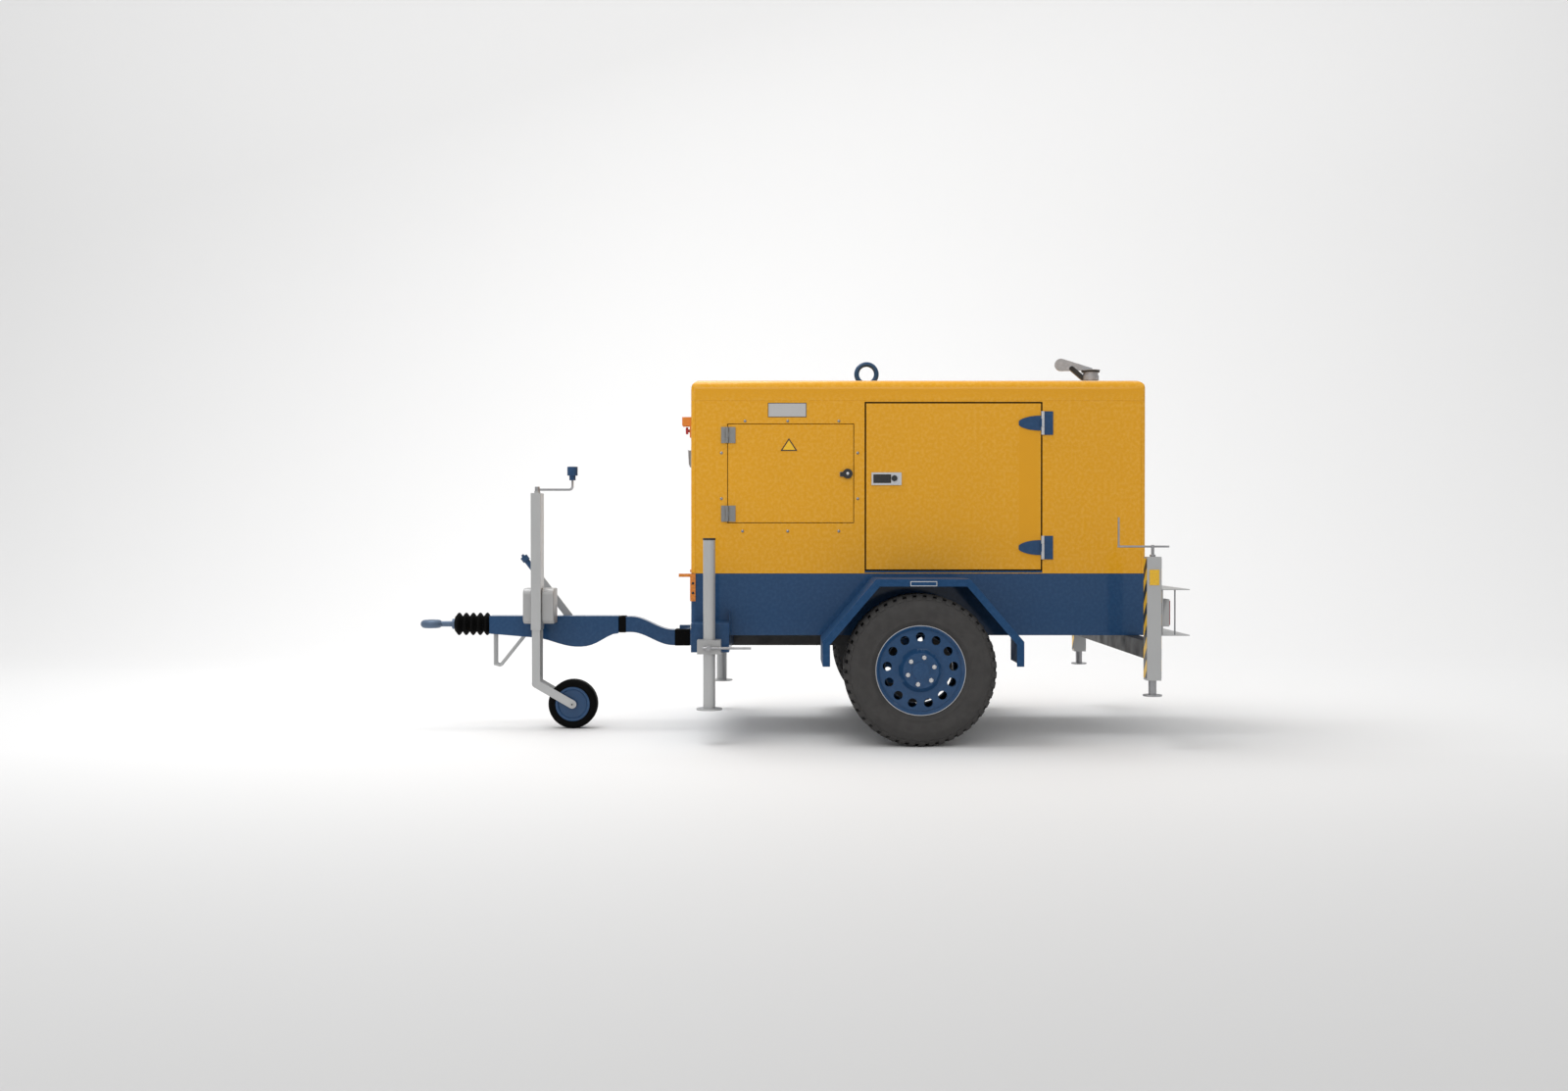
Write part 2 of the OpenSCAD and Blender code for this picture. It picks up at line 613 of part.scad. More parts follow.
module jockey_crank() color(grey) {
  rod_z(10, 700, mast_z1 + 2, jockey_x, jockey_y);
  rod_z(13, mast_z1 + 0.5, crank_z, jockey_x, jockey_y);
  // arm, its bend and the grip's pin
  for (i = [0 : 2]) flat_bar(crank_line[i], crank_line[i + 1], 12, jockey_y - 6, jockey_y + 6);
  rod_z(6, crank_line[3].y - 2, 1330, crank_end_x, jockey_y);
  // knob
  rod_z(17, 1321, 1347, crank_end_x, jockey_y);
  rod_z(28, 1346, 1393, crank_end_x, jockey_y);
}
clamp_x = [-1440, -1275];
clamp_y0 = jockey_y - mast.y / 2 + 24;
clamp_r = 34;
module jockey_clamp() color("#b4b4b0") difference() {
  // rounded casting bolted to the side of the beam, with the mast standing in its front
  translate([clamp_x[0], 0, 0]) rotate([90, 0, 90]) linear_extrude(clamp_x[1] - clamp_x[0]) hull() {
    for (z = [clamp_z0 + clamp_r, clamp_z1 - clamp_r]) translate([clamp_y0 + clamp_r, z]) circle(clamp_r);
    rect([-beam_hw - 10, clamp_z0], [-beam_hw, clamp_z1]);
  }
  mast_box(clear, clamp_z0 - 1, clamp_z1 + 1);
}

// ---- front support legs ----
leg_r = 30;
beam_block = [-513.6, -323];
leg_beam_z = [445, 590];
module front_leg_beam() color(blue) {
  // cross-beam under the body, with a box bracket outside each side
  difference() {
    block([beam_block[0], -half_w, leg_beam_z[0]], [beam_block[1], half_w, skirt_z - 0.2]);
    block([beam_block[0] + 5, -half_w - 1, leg_beam_z[0] + 5], [beam_block[1] - 5, half_w + 1, skirt_z - 5]);
    slab_x(beam_block[0] - 1, beam_block[1] + 1) rect([-43, 432], [43, 518]);
  }
  both() difference() {
    block([beam_block[0], -front_leg_y + leg_r + 22, leg_beam_z[0]], [beam_block[1], -half_w, leg_beam_z[1]]);
    block([beam_block[0] + 5, -front_leg_y + leg_r + 27, leg_beam_z[0] + 5], [beam_block[1] - 5, -half_w + 1, leg_beam_z[1] - 5]);
  }
  both() block([beam_block[1] - 5, -half_w - 60, leg_beam_z[1]], [beam_block[1], -half_w, leg_beam_z[1] + 55]);
}
clamp_z = [443, 512];
clamp_bore = leg_r + clear;
bar_z = 474;
screw_y = -front_leg_y - 58;
module leg_clamps() color("#b4b4b0") both() {
  // a split block round each front leg, bolted to the bracket
  difference() {
    union() {
      block([front_leg_x - 58, -front_leg_y - 42, clamp_z[0]], [front_leg_x + 58, -front_leg_y + leg_r + 21.8, clamp_z[1]]);
      rod_y(20, -front_leg_y - 48, -front_leg_y - 40, front_leg_x, bar_z);
    }
    rod_z(clamp_bore, clamp_z[0] - 1, clamp_z[1] + 1, front_leg_x, -front_leg_y);
    rod_y(8.3, -front_leg_y - 60, -front_leg_y, front_leg_x, bar_z);
  }
}
leg_top = 1012;
foot_z = 166;
foot_r = 64;
module front_leg(s) color(grey) side(s) {
  difference() {
    rod_z(leg_r, foot_z + 8, leg_top, front_leg_x, -front_leg_y);
    rod_z(leg_r - 4, foot_z + 8, leg_top - 4, front_leg_x, -front_leg_y);
  }
  rod_z(foot_r, foot_z, foot_z + 8, front_leg_x, -front_leg_y);
}
module front_leg_near() front_leg(-1);
module front_leg_far() front_leg(1);
module clamp_bar(s) color("#8a8a88") side(s) {
  rod_y(8, screw_y - 8, -front_leg_y - leg_r - 0.4, front_leg_x, bar_z);
  rod_y(13, screw_y - 10, screw_y + 8, front_leg_x, bar_z);
  rod_x(6, front_leg_x - 30, front_leg_x + 208, screw_y, bar_z);
}
module clamp_bar_near() clamp_bar(-1);
module clamp_bar_far() clamp_bar(1);

// ---- underframe, axle and wheels ----
pivot = [463.5, 465];
axle_half = 45;
axle_y = 600;
cross_half = 35;
module underframe() color("#26282a") {
  difference() {
    block([s_x1 + 0.3, -42, 433], [pivot.x - axle_half, 42, skirt_z]);
    block([s_x1 - 1, -37, 438], [pivot.x - axle_half, 37, skirt_z - 5]);
  }
  difference() {
    block([pivot.x - axle_half, -axle_y, pivot.y - axle_half], [pivot.x + axle_half, axle_y, pivot.y + axle_half]);
    block([pivot.x - axle_half + 5, -axle_y - 1, pivot.y - axle_half + 5], [pivot.x + axle_half - 5, axle_y + 1, pivot.y + axle_half - 5]);
  }
  both() block([pivot.x - 60, -470, pivot.y + axle_half], [pivot.x + 60, -420, skirt_z]);
  difference() {
    block([rear_leg_x - cross_half, -rear_leg_y + rear_leg_w / 2 + 0.2, 430], [rear_leg_x + cross_half, rear_leg_y - rear_leg_w / 2 - 0.2, skirt_z - 0.2]);
    block([rear_leg_x - cross_half + 5, -rear_leg_y, 435], [rear_leg_x + cross_half - 5, rear_leg_y, skirt_z - 5]);
  }
}
spindle_r = 20;
arm_in = 625;
module swing_arm(s) color("#3a3c3e") side(s) {
  hub = [axle_x, tyre_r];
  rod_y(32, -arm_in, 60 - axle_y, pivot.x, pivot.y);
  flat_bar(pivot, hub, 84, -arm_in - 30, -arm_in);
  rod_y(30, -arm_in - 60, -arm_in - 30, hub.x, hub.y);
  rod_y(spindle_r, -half_track - 20, -arm_in - 59, hub.x, hub.y);
}
module swing_arm_near() swing_arm(-1);
module swing_arm_far() swing_arm(1);

module wheel_at(s) { side(s) translate([axle_x, -half_track, tyre_r]) rotate([90, 0, 0]) children(); }
hole_ring = 163;
hole_r = 22;
nut_ring = 66.5;
nut_r = 11.5;
boss_r = [86, 107];
disc_w = 76;
face_w = 104;
plate_t = 8;
module rim(s) color(blue) wheel_at(s) {
  difference() {
    union() {
      rotate_extrude() polygon([[rim_r, 92], [rim_r, 88], [205, 82], [203, 60], [171, 40], [171, -20], [203, -50], [205, -82],
        [rim_r, -88], [rim_r, -92], [213, -92], [200, -81], [198, -52], [166, -22], [166, 42], [198, 62], [200, 81], [213, 92]]);
      // dished disc with its raised hub face
      rotate_extrude() polygon([[44, face_w], [boss_r[0], face_w], [boss_r[1], disc_w], [201, disc_w], [201, disc_w - plate_t],
        [boss_r[1] - 3, disc_w - plate_t], [boss_r[0] - 3, face_w - plate_t], [44, face_w - plate_t]]);
    }
    for (i = [0 : disc_holes - 1]) rotate(90 + i * 360 / disc_holes) translate([hole_ring, 0, 0]) cylinder(r = hole_r, h = 100);
  }
  // hub and brake drum on the spindle
  difference() {
    union() {
      cylinder(r = 60, h = face_w - plate_t - 0.5);
      translate([0, 0, -80]) cylinder(r = 130, h = 78);
      translate([0, 0, face_w - plate_t - 1]) cylinder(r = 43.5, h = plate_t + 3);
      for (i = [0 : 5]) rotate(17 + 60 * i) translate([nut_ring, 0, face_w]) cylinder(r = nut_r, h = 12, $fn = 6);
    }
    translate([0, 0, -90]) cylinder(r = spindle_r + 0.06, h = 125);
    translate([0, 0, -81]) cylinder(r = 118, h = 60);
  }
}
module rim_near() rim(-1);
module rim_far() rim(1);
module tyre(s) color("#2c2b2a") wheel_at(s) {
  hw = tyre_w / 2;
  side_pts = [[206.5, 80], [220.5, 86.5], [228, 98], [262, hw - 1], [305, hw], [340, hw - 6], [362, hw - 18], [tyre_r, hw - 40]];
  core_pts = [[214, 74], [236, 88], [300, 100], [338, 92], [352, 74]];
  flip = function (pts) [for (i = [len(pts) - 1 : -1 : 0]) [pts[i].x, -pts[i].y]];
  rotate_extrude($fn = 96) difference() {
    polygon(concat(side_pts, flip(side_pts)));
    polygon(concat(core_pts, flip(core_pts)));
    rect([200, -60], [236, 60]);
  }
}
module tyre_near() tyre(-1);
module tyre_far() tyre(1);

// fender outline set in by d, open at the bottom
fender_x = 625;
fender_top = 816;
fender_foot = 392;
fender_knee = [488, 512];
fender_flat = 228;
fender_y = 920;
fender_lip = 36;
fender_tilt = atan2(fender_top - fender_knee.y, fender_knee.x - fender_flat);
module fender_outline(d, low) {
  top_x = fender_flat - d * tan(fender_tilt / 2);
  knee = [fender_knee.x - d, fender_knee.y - d * tan((90 - fender_tilt) / 2)];
  translate([fender_x, 0]) polygon([[-knee.x, low], [-knee.x, knee.y], [-top_x, fender_top - d],
    [top_x, fender_top - d], [knee.x, knee.y], [knee.x, low]]);
}
module fenders() color(blue) both() {
  slab_y(-fender_y, -half_w) difference() { fender_outline(0, fender_foot); fender_outline(sheet, fender_foot - 1); }
  slab_y(-fender_y, -fender_y + sheet) difference() { fender_outline(2, fender_foot); fender_outline(fender_lip, fender_foot - 1); }
}
module side_markers() {
  color("#e8e8e8") both() block([561, -fender_y - 8, 782], [690, -fender_y, 806]);
  // amber corner lamps
  color("#ff9000") both() {
    block([body_x0 - 62, -half_w - 2, 815], [body_x0 - 0.3, 60 - half_w, 832]);
    block([body_x0 - 4, -half_w - 8, 691], [body_x0 + 24, -half_w - 0.3, 832]);
    block([body_x0 - 4, -half_w - 8, 691], [body_x0 - 0.3, 60 - half_w, 816]);
  }
}
stop_y = -420;
stop_z = 1566;
module front_fittings() {
  // hood over the stop button, and the power outlet box
  color("#d8731c") {
    block([body_x0 - 47, stop_y - 40, 1626], [body_x0, stop_y + 40, 1635]);
    for (s = [-1, 1]) block([body_x0 - 47, stop_y + s * 38 - 2, 1590], [body_x0, stop_y + s * 38 + 2, 1630]);
    difference() {
      block([body_x0 - 8, stop_y - 40, 1530], [body_x0, stop_y + 40, 1630]);
      rod_x(8.3, body_x0 - 9, body_x0 + 1, stop_y, stop_z);
    }
  }
  color("#808488") for (y = [-400, -300, -200]) difference() {
    block([body_x0 - 10, y - 38, 1380], [body_x0, y + 38, 1465]);
    rod_x(26, body_x0 - 11, body_x0 - 3, y, 1418);
  }
}
module stop_button() color("#c01818") {
  rod_x(18, body_x0 - 30, body_x0 - 18, stop_y, stop_z);
  rod_x(8, body_x0 - 19, body_x0 - 7.5, stop_y, stop_z);
}
flap_pin_z = 1462;
module outlet_flap() color("#9a9da0") {
  slab_y(-436, -364) polygon([[body_x0 - 10.8, flap_pin_z], [body_x0 - 18, flap_pin_z], [body_x0 - 14, 1390], [body_x0 - 10.8, 1390]]);
  rod_y(4, -436, -364, body_x0 - 15, flap_pin_z);
}

// ---- rear carrier and legs ----
carrier_x = 2025;
plate_zs = [514, 748];
post_xs = [1887, 1951];
lamp_x = [1888, 1894, 1927];
module rear_carrier() color(grey) {
  for (z = plate_zs) block([body_x1, -half_w, z], [carrier_x, half_w, z + 5]);
  both() for (x = post_xs) rod_z(4, plate_zs[0] + 5, plate_zs[1], x, -half_w + 12);
  // transverse lamp board
  block([lamp_x[0], -half_w + 20, 554], [lamp_x[1], half_w - 20, 707]);
  both() {
    block([lamp_x[1], -half_w + 24, 560], [lamp_x[2], -half_w + 230, 700]);
    block([lamp_x[0] - 8, -half_w + 60, plate_zs[0] + 5], [lamp_x[0], -half_w + 90, plate_zs[1]]);
  }
}
tube_z = [328, 925];
inner_r = 19;
module rear_leg_tubes() color(grey) both() {
  h = rear_leg_w / 2;
  difference() {
    block([rear_leg_x - h, -rear_leg_y - h, tube_z[0]], [rear_leg_x + h, -rear_leg_y + h, tube_z[1]]);
    block([rear_leg_x - h + 5, -rear_leg_y - h + 5, tube_z[0] + 15], [rear_leg_x + h - 5, -rear_leg_y + h - 5, tube_z[1] - 10]);
    rod_z(inner_r + clear, tube_z[0] - 1, tube_z[0] + 20, rear_leg_x, -rear_leg_y);
    rod_z(7.5 + clear, tube_z[1] - 12, tube_z[1] + 1, rear_leg_x, -rear_leg_y);
  }
}
rear_foot_z = 250.5;
rear_crank_z = 974;
rear_handle_x = 1568;
rear_leg_end = 848;
module rear_leg(s) color(grey) side(s) difference() {
  union() {
    rod_z(inner_r, rear_foot_z + 8, rear_leg_end, rear_leg_x, -rear_leg_y);
    rod_z(46, rear_foot_z, rear_foot_z + 8, rear_leg_x, -rear_leg_y);
  }
  rod_z(8.2, 300, rear_leg_end + 1, rear_leg_x, -rear_leg_y);
}
module rear_leg_near() rear_leg(-1);
module rear_leg_far() rear_leg(1);
module rear_crank(s) color(grey) side(s) {
  rod_z(7.5, 560, rear_crank_z + 8, rear_leg_x, -rear_leg_y);
  rod_z(14, tube_z[1] + 0.5, tube_z[1] + 10, rear_leg_x, -rear_leg_y);
  rod_x(5, 1562, 1812.6, -rear_leg_y, rear_crank_z);
  rod_z(4.6, rear_crank_z, 1115, rear_handle_x, -rear_leg_y);
}
module rear_crank_near() rear_crank(-1);
module rear_crank_far() rear_crank(1);

// ---- power unit ----
crank_axis_z = 1010;
unit_x = 480;
// a closed box casting with walls of thickness t
module casting(lo, hi, t) {
  difference() { block(lo, hi); block(lo + [t, t, t], hi - [t, t, t]); }
}
// a closed drum casting along X
module drum(r, x0, x1, t) {
  difference() { rod_x(r, x0, x1, 0, crank_axis_z); rod_x(r - t, x0 + t, x1 - t, 0, crank_axis_z); }
}
mount_xs = [140, 530];
module engine() color("#4a4e52") translate([unit_x, 0, 0]) {
  // block, head, rocker cover, sump and flywheel housing
  casting([80, -160, 900], [610, 160, 1180], 22);
  casting([95, -120, 1180.2], [595, 120, 1290], 20);
  casting([110, -90, 1290.2], [580, 90, 1350], 6);
  casting([110, -130, 815], [580, 130, 899.8], 8);
  drum(210, 0.2, 79.8, 16);
  // feet on rubber mounts
  both() for (x = mount_xs) block([x - 35, 160.2, 880], [x + 35, 275, 895]);
  both() for (x = mount_xs) rod_z(28, rail_top + 0.2, 879.8, x, rail_y);
  // manifold, air cleaner and the nose of the crankshaft
  block([140, 120.2, 1200], [560, 170, 1260]);
  difference() { rod_x(85, 140, 480, -200, 1420); rod_x(80, 145, 475, -200, 1420); }
  rod_x(20, 610, 642, 0, crank_axis_z);
}
module alternator() color("#5c6064") translate([unit_x, 0, 0]) {
  drum(200, -420, 0, 55);
  casting([-360, -130, 1200], [-60, 130, 1330], 4);
  both() {
    block([-370, 170, rail_top + 1], [-60, 260, rail_top + 16]);
    block([-370, 150, rail_top + 16], [-60, 175, 920]);
  }
}
radiator_x = 1265;
module radiator() color("#3c4044") {
  casting([radiator_x, -360, 850], [radiator_x + 70, 360, 1560], 14);
  casting([radiator_x - 10, -380, rail_top + 0.2], [radiator_x + 80, 380, 849.8], 4);
  casting([radiator_x - 10, -380, 1560.2], [radiator_x + 80, 380, 1610], 4);
  rod_z(25, 1610, 1630, radiator_x + 35, 0);
}
fan_x = 1180;
module cooling_fan() color("#202224") {
  rod_x(60, fan_x - 20, fan_x + 20, 0, crank_axis_z);
  rod_x(20.5, unit_x + 642.4, fan_x - 20, 0, crank_axis_z);
  for (i = [0 : 6]) translate([fan_x, 0, crank_axis_z]) rotate([i * 360 / 7, 0, 0])
    translate([0, 0, 40]) rotate([0, 0, 32]) translate([-3, -38, 0]) cube([6, 76, 150]);
}
module battery() color("#1e2022") {
  block([-480, 150, floor_z + sheet], [-300, 470, 985]);
  for (y = [210, 410]) rod_z(9, 985, 1002, -330, y);
}
module instrument_panel() color("#a8abae") {
  // sloping desk behind the small door, with dials and switches
  difference() {
    block([-320, -410, 1110], [288, -215, 1580]);
    block([-317, -407, 1113], [285, -218, 1577]);
  }
  for (x = [-220, -90, 40]) rod_y(42, -422, -410, x, 1480);
  for (x = [-240, -160, -80, 0, 80]) rod_y(11, -424, -410, x, 1360);
  block([120, -416, 1200], [250, -410, 1500]);
}

base_frame();
floor_pan();
fuel_tank();
canopy_near();
canopy_far();
canopy_ends();
roof();
door_seals();
hinge_plates();
lifting_eye();
exhaust();
drawbar_beam();
drawbar_tube();
coupling_skid();
jockey_clamp();
front_leg_beam();
leg_clamps();
underframe();
rear_carrier();
rear_leg_tubes();
fenders();
side_markers();
front_fittings();
engine();
alternator();
radiator();
battery();
instrument_panel();
tow_eye_shank();
bellows();
brake_lever();
jockey_mast();
jockey_leg();
jockey_rim();
jockey_tyre();
jockey_crank();
front_leg_near();
front_leg_far();
clamp_bar_near();
clamp_bar_far();
rear_leg_near();
rear_leg_far();
rear_crank_near();
rear_crank_far();
door_near();
door_far();
panel_door();
latch_near();
latch_far();
panel_lock();
rain_cap();
stop_button();
outlet_flap();
swing_arm_near();
swing_arm_far();
rim_near();
rim_far();
tyre_near();
tyre_far();
cooling_fan();
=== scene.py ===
import json
import math

import bmesh
import bpy
from mathutils import Matrix, Vector


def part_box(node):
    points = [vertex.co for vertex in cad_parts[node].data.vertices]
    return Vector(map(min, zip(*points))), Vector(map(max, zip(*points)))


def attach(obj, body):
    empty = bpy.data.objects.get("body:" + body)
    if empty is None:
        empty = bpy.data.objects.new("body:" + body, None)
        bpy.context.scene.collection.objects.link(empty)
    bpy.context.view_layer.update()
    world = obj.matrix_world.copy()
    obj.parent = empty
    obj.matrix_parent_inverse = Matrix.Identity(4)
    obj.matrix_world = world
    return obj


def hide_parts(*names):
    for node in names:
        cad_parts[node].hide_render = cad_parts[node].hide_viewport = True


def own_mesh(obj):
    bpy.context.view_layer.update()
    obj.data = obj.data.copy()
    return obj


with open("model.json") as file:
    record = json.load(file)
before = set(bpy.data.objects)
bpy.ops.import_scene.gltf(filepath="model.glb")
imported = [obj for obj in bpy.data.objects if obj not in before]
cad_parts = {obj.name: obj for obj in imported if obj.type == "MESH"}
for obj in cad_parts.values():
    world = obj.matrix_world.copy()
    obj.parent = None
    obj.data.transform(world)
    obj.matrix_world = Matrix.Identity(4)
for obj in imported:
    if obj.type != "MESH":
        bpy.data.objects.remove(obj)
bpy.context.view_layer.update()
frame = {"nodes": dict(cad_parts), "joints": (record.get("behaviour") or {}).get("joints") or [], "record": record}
nodes = frame["nodes"]
bodyOf = {n: b for b, names in frame["record"]["behaviour"]["bodies"].items() for n in names}
slotOf = {s["node"]: s["material_slot"] for s in frame["record"]["subparts"]}
jointAt = {j["name"]: Vector(j["pos_m"]) for j in frame["joints"] if "pos_m" in j}
sides = {"near": -1, "far": 1}
print("frame loaded:", len(nodes), "nodes")


# shader helpers, then one finish for each paint, rubber, plastic and metal
def link(tree, a, b):
    tree.links.new(a, b)


def addNode(tree, kind, **values):
    node = tree.nodes.new(kind)
    for key, value in values.items():
        if key in node.inputs:
            node.inputs[key].default_value = value
        else:
            setattr(node, key, value)
    return node


def noiseAt(tree, coords, scale, detail=4.0, stretch=None):
    noise = addNode(tree, "ShaderNodeTexNoise", Scale=scale, Detail=detail)
    if stretch:
        mapping = addNode(tree, "ShaderNodeMapping", Scale=stretch)
        link(tree, coords, mapping.inputs["Vector"])
        coords = mapping.outputs["Vector"]
    link(tree, coords, noise.inputs["Vector"])
    return noise.outputs["Fac"]


def spread(tree, value, low, high, fromLow=0.35, fromHigh=0.65):
    node = addNode(tree, "ShaderNodeMapRange")
    for key, number in zip(("From Min", "From Max", "To Min", "To Max"), (fromLow, fromHigh, low, high)):
        node.inputs[key].default_value = number
    link(tree, value, node.inputs["Value"])
    return node.outputs["Result"]


def times(tree, a, b):
    node = addNode(tree, "ShaderNodeMath", operation="MULTIPLY")
    for socket, value in zip(node.inputs, (a, b)):
        if isinstance(value, (int, float)):
            socket.default_value = value
        else:
            link(tree, value, socket)
    return node.outputs[0]


def mixed(tree, amount, first, second):
    node = addNode(tree, "ShaderNodeMix", data_type="RGBA")
    for index, value in ((0, amount), (6, first), (7, second)):
        if isinstance(value, (int, float)):
            node.inputs[index].default_value = value
        elif isinstance(value, tuple):
            node.inputs[index].default_value = (*value, 1)
        else:
            link(tree, value, node.inputs[index])
    return node.outputs[2]


def startMaterial(name):
    mat = bpy.data.materials.new(name)
    mat.use_nodes = True
    tree = mat.node_tree
    shader = tree.nodes["Principled BSDF"]
    coords = addNode(tree, "ShaderNodeTexCoord").outputs["Object"]
    return mat, tree, shader, coords


def addBump(tree, shader, height, depth, strength=1.0):
    bump = addNode(tree, "ShaderNodeBump", Strength=strength, Distance=depth)
    link(tree, height, bump.inputs["Height"])
    link(tree, bump.outputs["Normal"], shader.inputs["Normal"])


surfaceDefaults = {
    "shade": 0.95, "patchScale": 2.2, "rough": (0.3, 0.4), "roughScale": 9.0, "metal": 0.0, "coat": 0.0,
    "grainScale": 320.0, "grainDepth": 0.00003, "stretch": None,
    "dirt": 0.0, "dirtTop": 0.95, "dirtLow": 0.25, "dirtScale": 14.0, "coatRough": 0.08, "wearScale": 60.0,
    "dirtColour": (0.11, 0.09, 0.07), "edge": 0.35, "edgeColour": None, "specular": 0.4,
}


def surface(name, colour, **changes):
    look = {**surfaceDefaults, **changes}
    mat, tree, shader, coords = startMaterial(name)
    darker = tuple(c * look["shade"] for c in colour)
    patch = spread(tree, noiseAt(tree, coords, look["patchScale"]), 0, 1)
    body = mixed(tree, patch, colour, darker)
    if look["dirt"]:
        height = addNode(tree, "ShaderNodeSeparateXYZ")
        link(tree, coords, height.inputs[0])
        low = spread(tree, height.outputs["Z"], 1, 0, look["dirtLow"], look["dirtTop"])
        cloud = spread(tree, noiseAt(tree, coords, look["dirtScale"], 6.0), 0, look["dirt"])
        body = mixed(tree, times(tree, low, cloud), body, look["dirtColour"])
    if look["edge"]:
        worn = addNode(tree, "ShaderNodeAttribute", attribute_name="edgeWear").outputs["Fac"]
        breaks = spread(tree, noiseAt(tree, coords, look["wearScale"], 3.0), 0, look["edge"], 0.42, 0.66)
        lighter = look["edgeColour"] or tuple(min(1, c * 1.5 + 0.02) for c in colour)
        body = mixed(tree, times(tree, worn, breaks), body, lighter)
    link(tree, body, shader.inputs["Base Color"])
    rough = spread(tree, noiseAt(tree, coords, look["roughScale"], 5.0), *look["rough"])
    link(tree, rough, shader.inputs["Roughness"])
    shader.inputs["Metallic"].default_value = look["metal"]
    shader.inputs["Coat Weight"].default_value = look["coat"]
    shader.inputs["Specular IOR Level"].default_value = look["specular"]
    shader.inputs["Coat Roughness"].default_value = look["coatRough"]
    grain = noiseAt(tree, coords, look["grainScale"], 2.0, look["stretch"])
    addBump(tree, shader, grain, look["grainDepth"])
    return mat


def hazardStripes(name, colour, dark, width):
    mat, tree, shader, coords = startMaterial(name)
    parts = addNode(tree, "ShaderNodeSeparateXYZ")
    link(tree, coords, parts.inputs[0])
    slant = addNode(tree, "ShaderNodeMath", operation="ADD")
    link(tree, parts.outputs["Y"], slant.inputs[0])
    link(tree, parts.outputs["Z"], slant.inputs[1])
    wave = addNode(tree, "ShaderNodeMath", operation="PINGPONG")
    link(tree, slant.outputs[0], wave.inputs[0])
    wave.inputs[1].default_value = width
    stripe = spread(tree, wave.outputs[0], 0, 1, width * 0.49, width * 0.51)
    scuffs = spread(tree, noiseAt(tree, coords, 40.0), 0, 0.12)
    scuffed = mixed(tree, scuffs, mixed(tree, stripe, colour, dark), (0.2, 0.2, 0.2))
    link(tree, scuffed, shader.inputs["Base Color"])
    link(tree, spread(tree, noiseAt(tree, coords, 25.0), 0.3, 0.45), shader.inputs["Roughness"])
    return mat


def lens(name, colour, cell):
    mat, tree, shader, coords = startMaterial(name)
    ribs = addNode(tree, "ShaderNodeTexVoronoi", Scale=1 / cell)
    link(tree, coords, ribs.inputs["Vector"])
    shaded = mixed(tree, ribs.outputs["Distance"], colour, tuple(c * 0.6 for c in colour))
    link(tree, shaded, shader.inputs["Base Color"])
    shader.inputs["Roughness"].default_value = 0.12
    shader.inputs["Coat Weight"].default_value = 0.6
    addBump(tree, shader, ribs.outputs["Distance"], 0.0012, 0.6)
    return mat


def tyreRubber(name):
    mat, tree, shader, coords = startMaterial(name)
    dust = spread(tree, noiseAt(tree, coords, 18.0, 6.0), 0, 0.5)
    link(tree, mixed(tree, dust, (0.046, 0.044, 0.043), (0.060, 0.057, 0.055)), shader.inputs["Base Color"])
    link(tree, spread(tree, noiseAt(tree, coords, 30.0), 0.62, 0.85), shader.inputs["Roughness"])
    shader.inputs["Specular IOR Level"].default_value = 0.25
    addBump(tree, shader, noiseAt(tree, coords, 420.0, 3.0), 0.0002)
    return mat


def satinMetal(name, colour, rough):
    mat, tree, shader, coords = startMaterial(name)
    streaks = spread(tree, noiseAt(tree, coords, 6.0, 4.0, (3, 3, 1)), 0, 1)
    link(tree, mixed(tree, streaks, colour, tuple(c * 0.97 for c in colour)), shader.inputs["Base Color"])
    link(tree, spread(tree, noiseAt(tree, coords, 9.0), rough, rough + 0.04), shader.inputs["Roughness"])
    shader.inputs["Metallic"].default_value = 0.4
    return mat


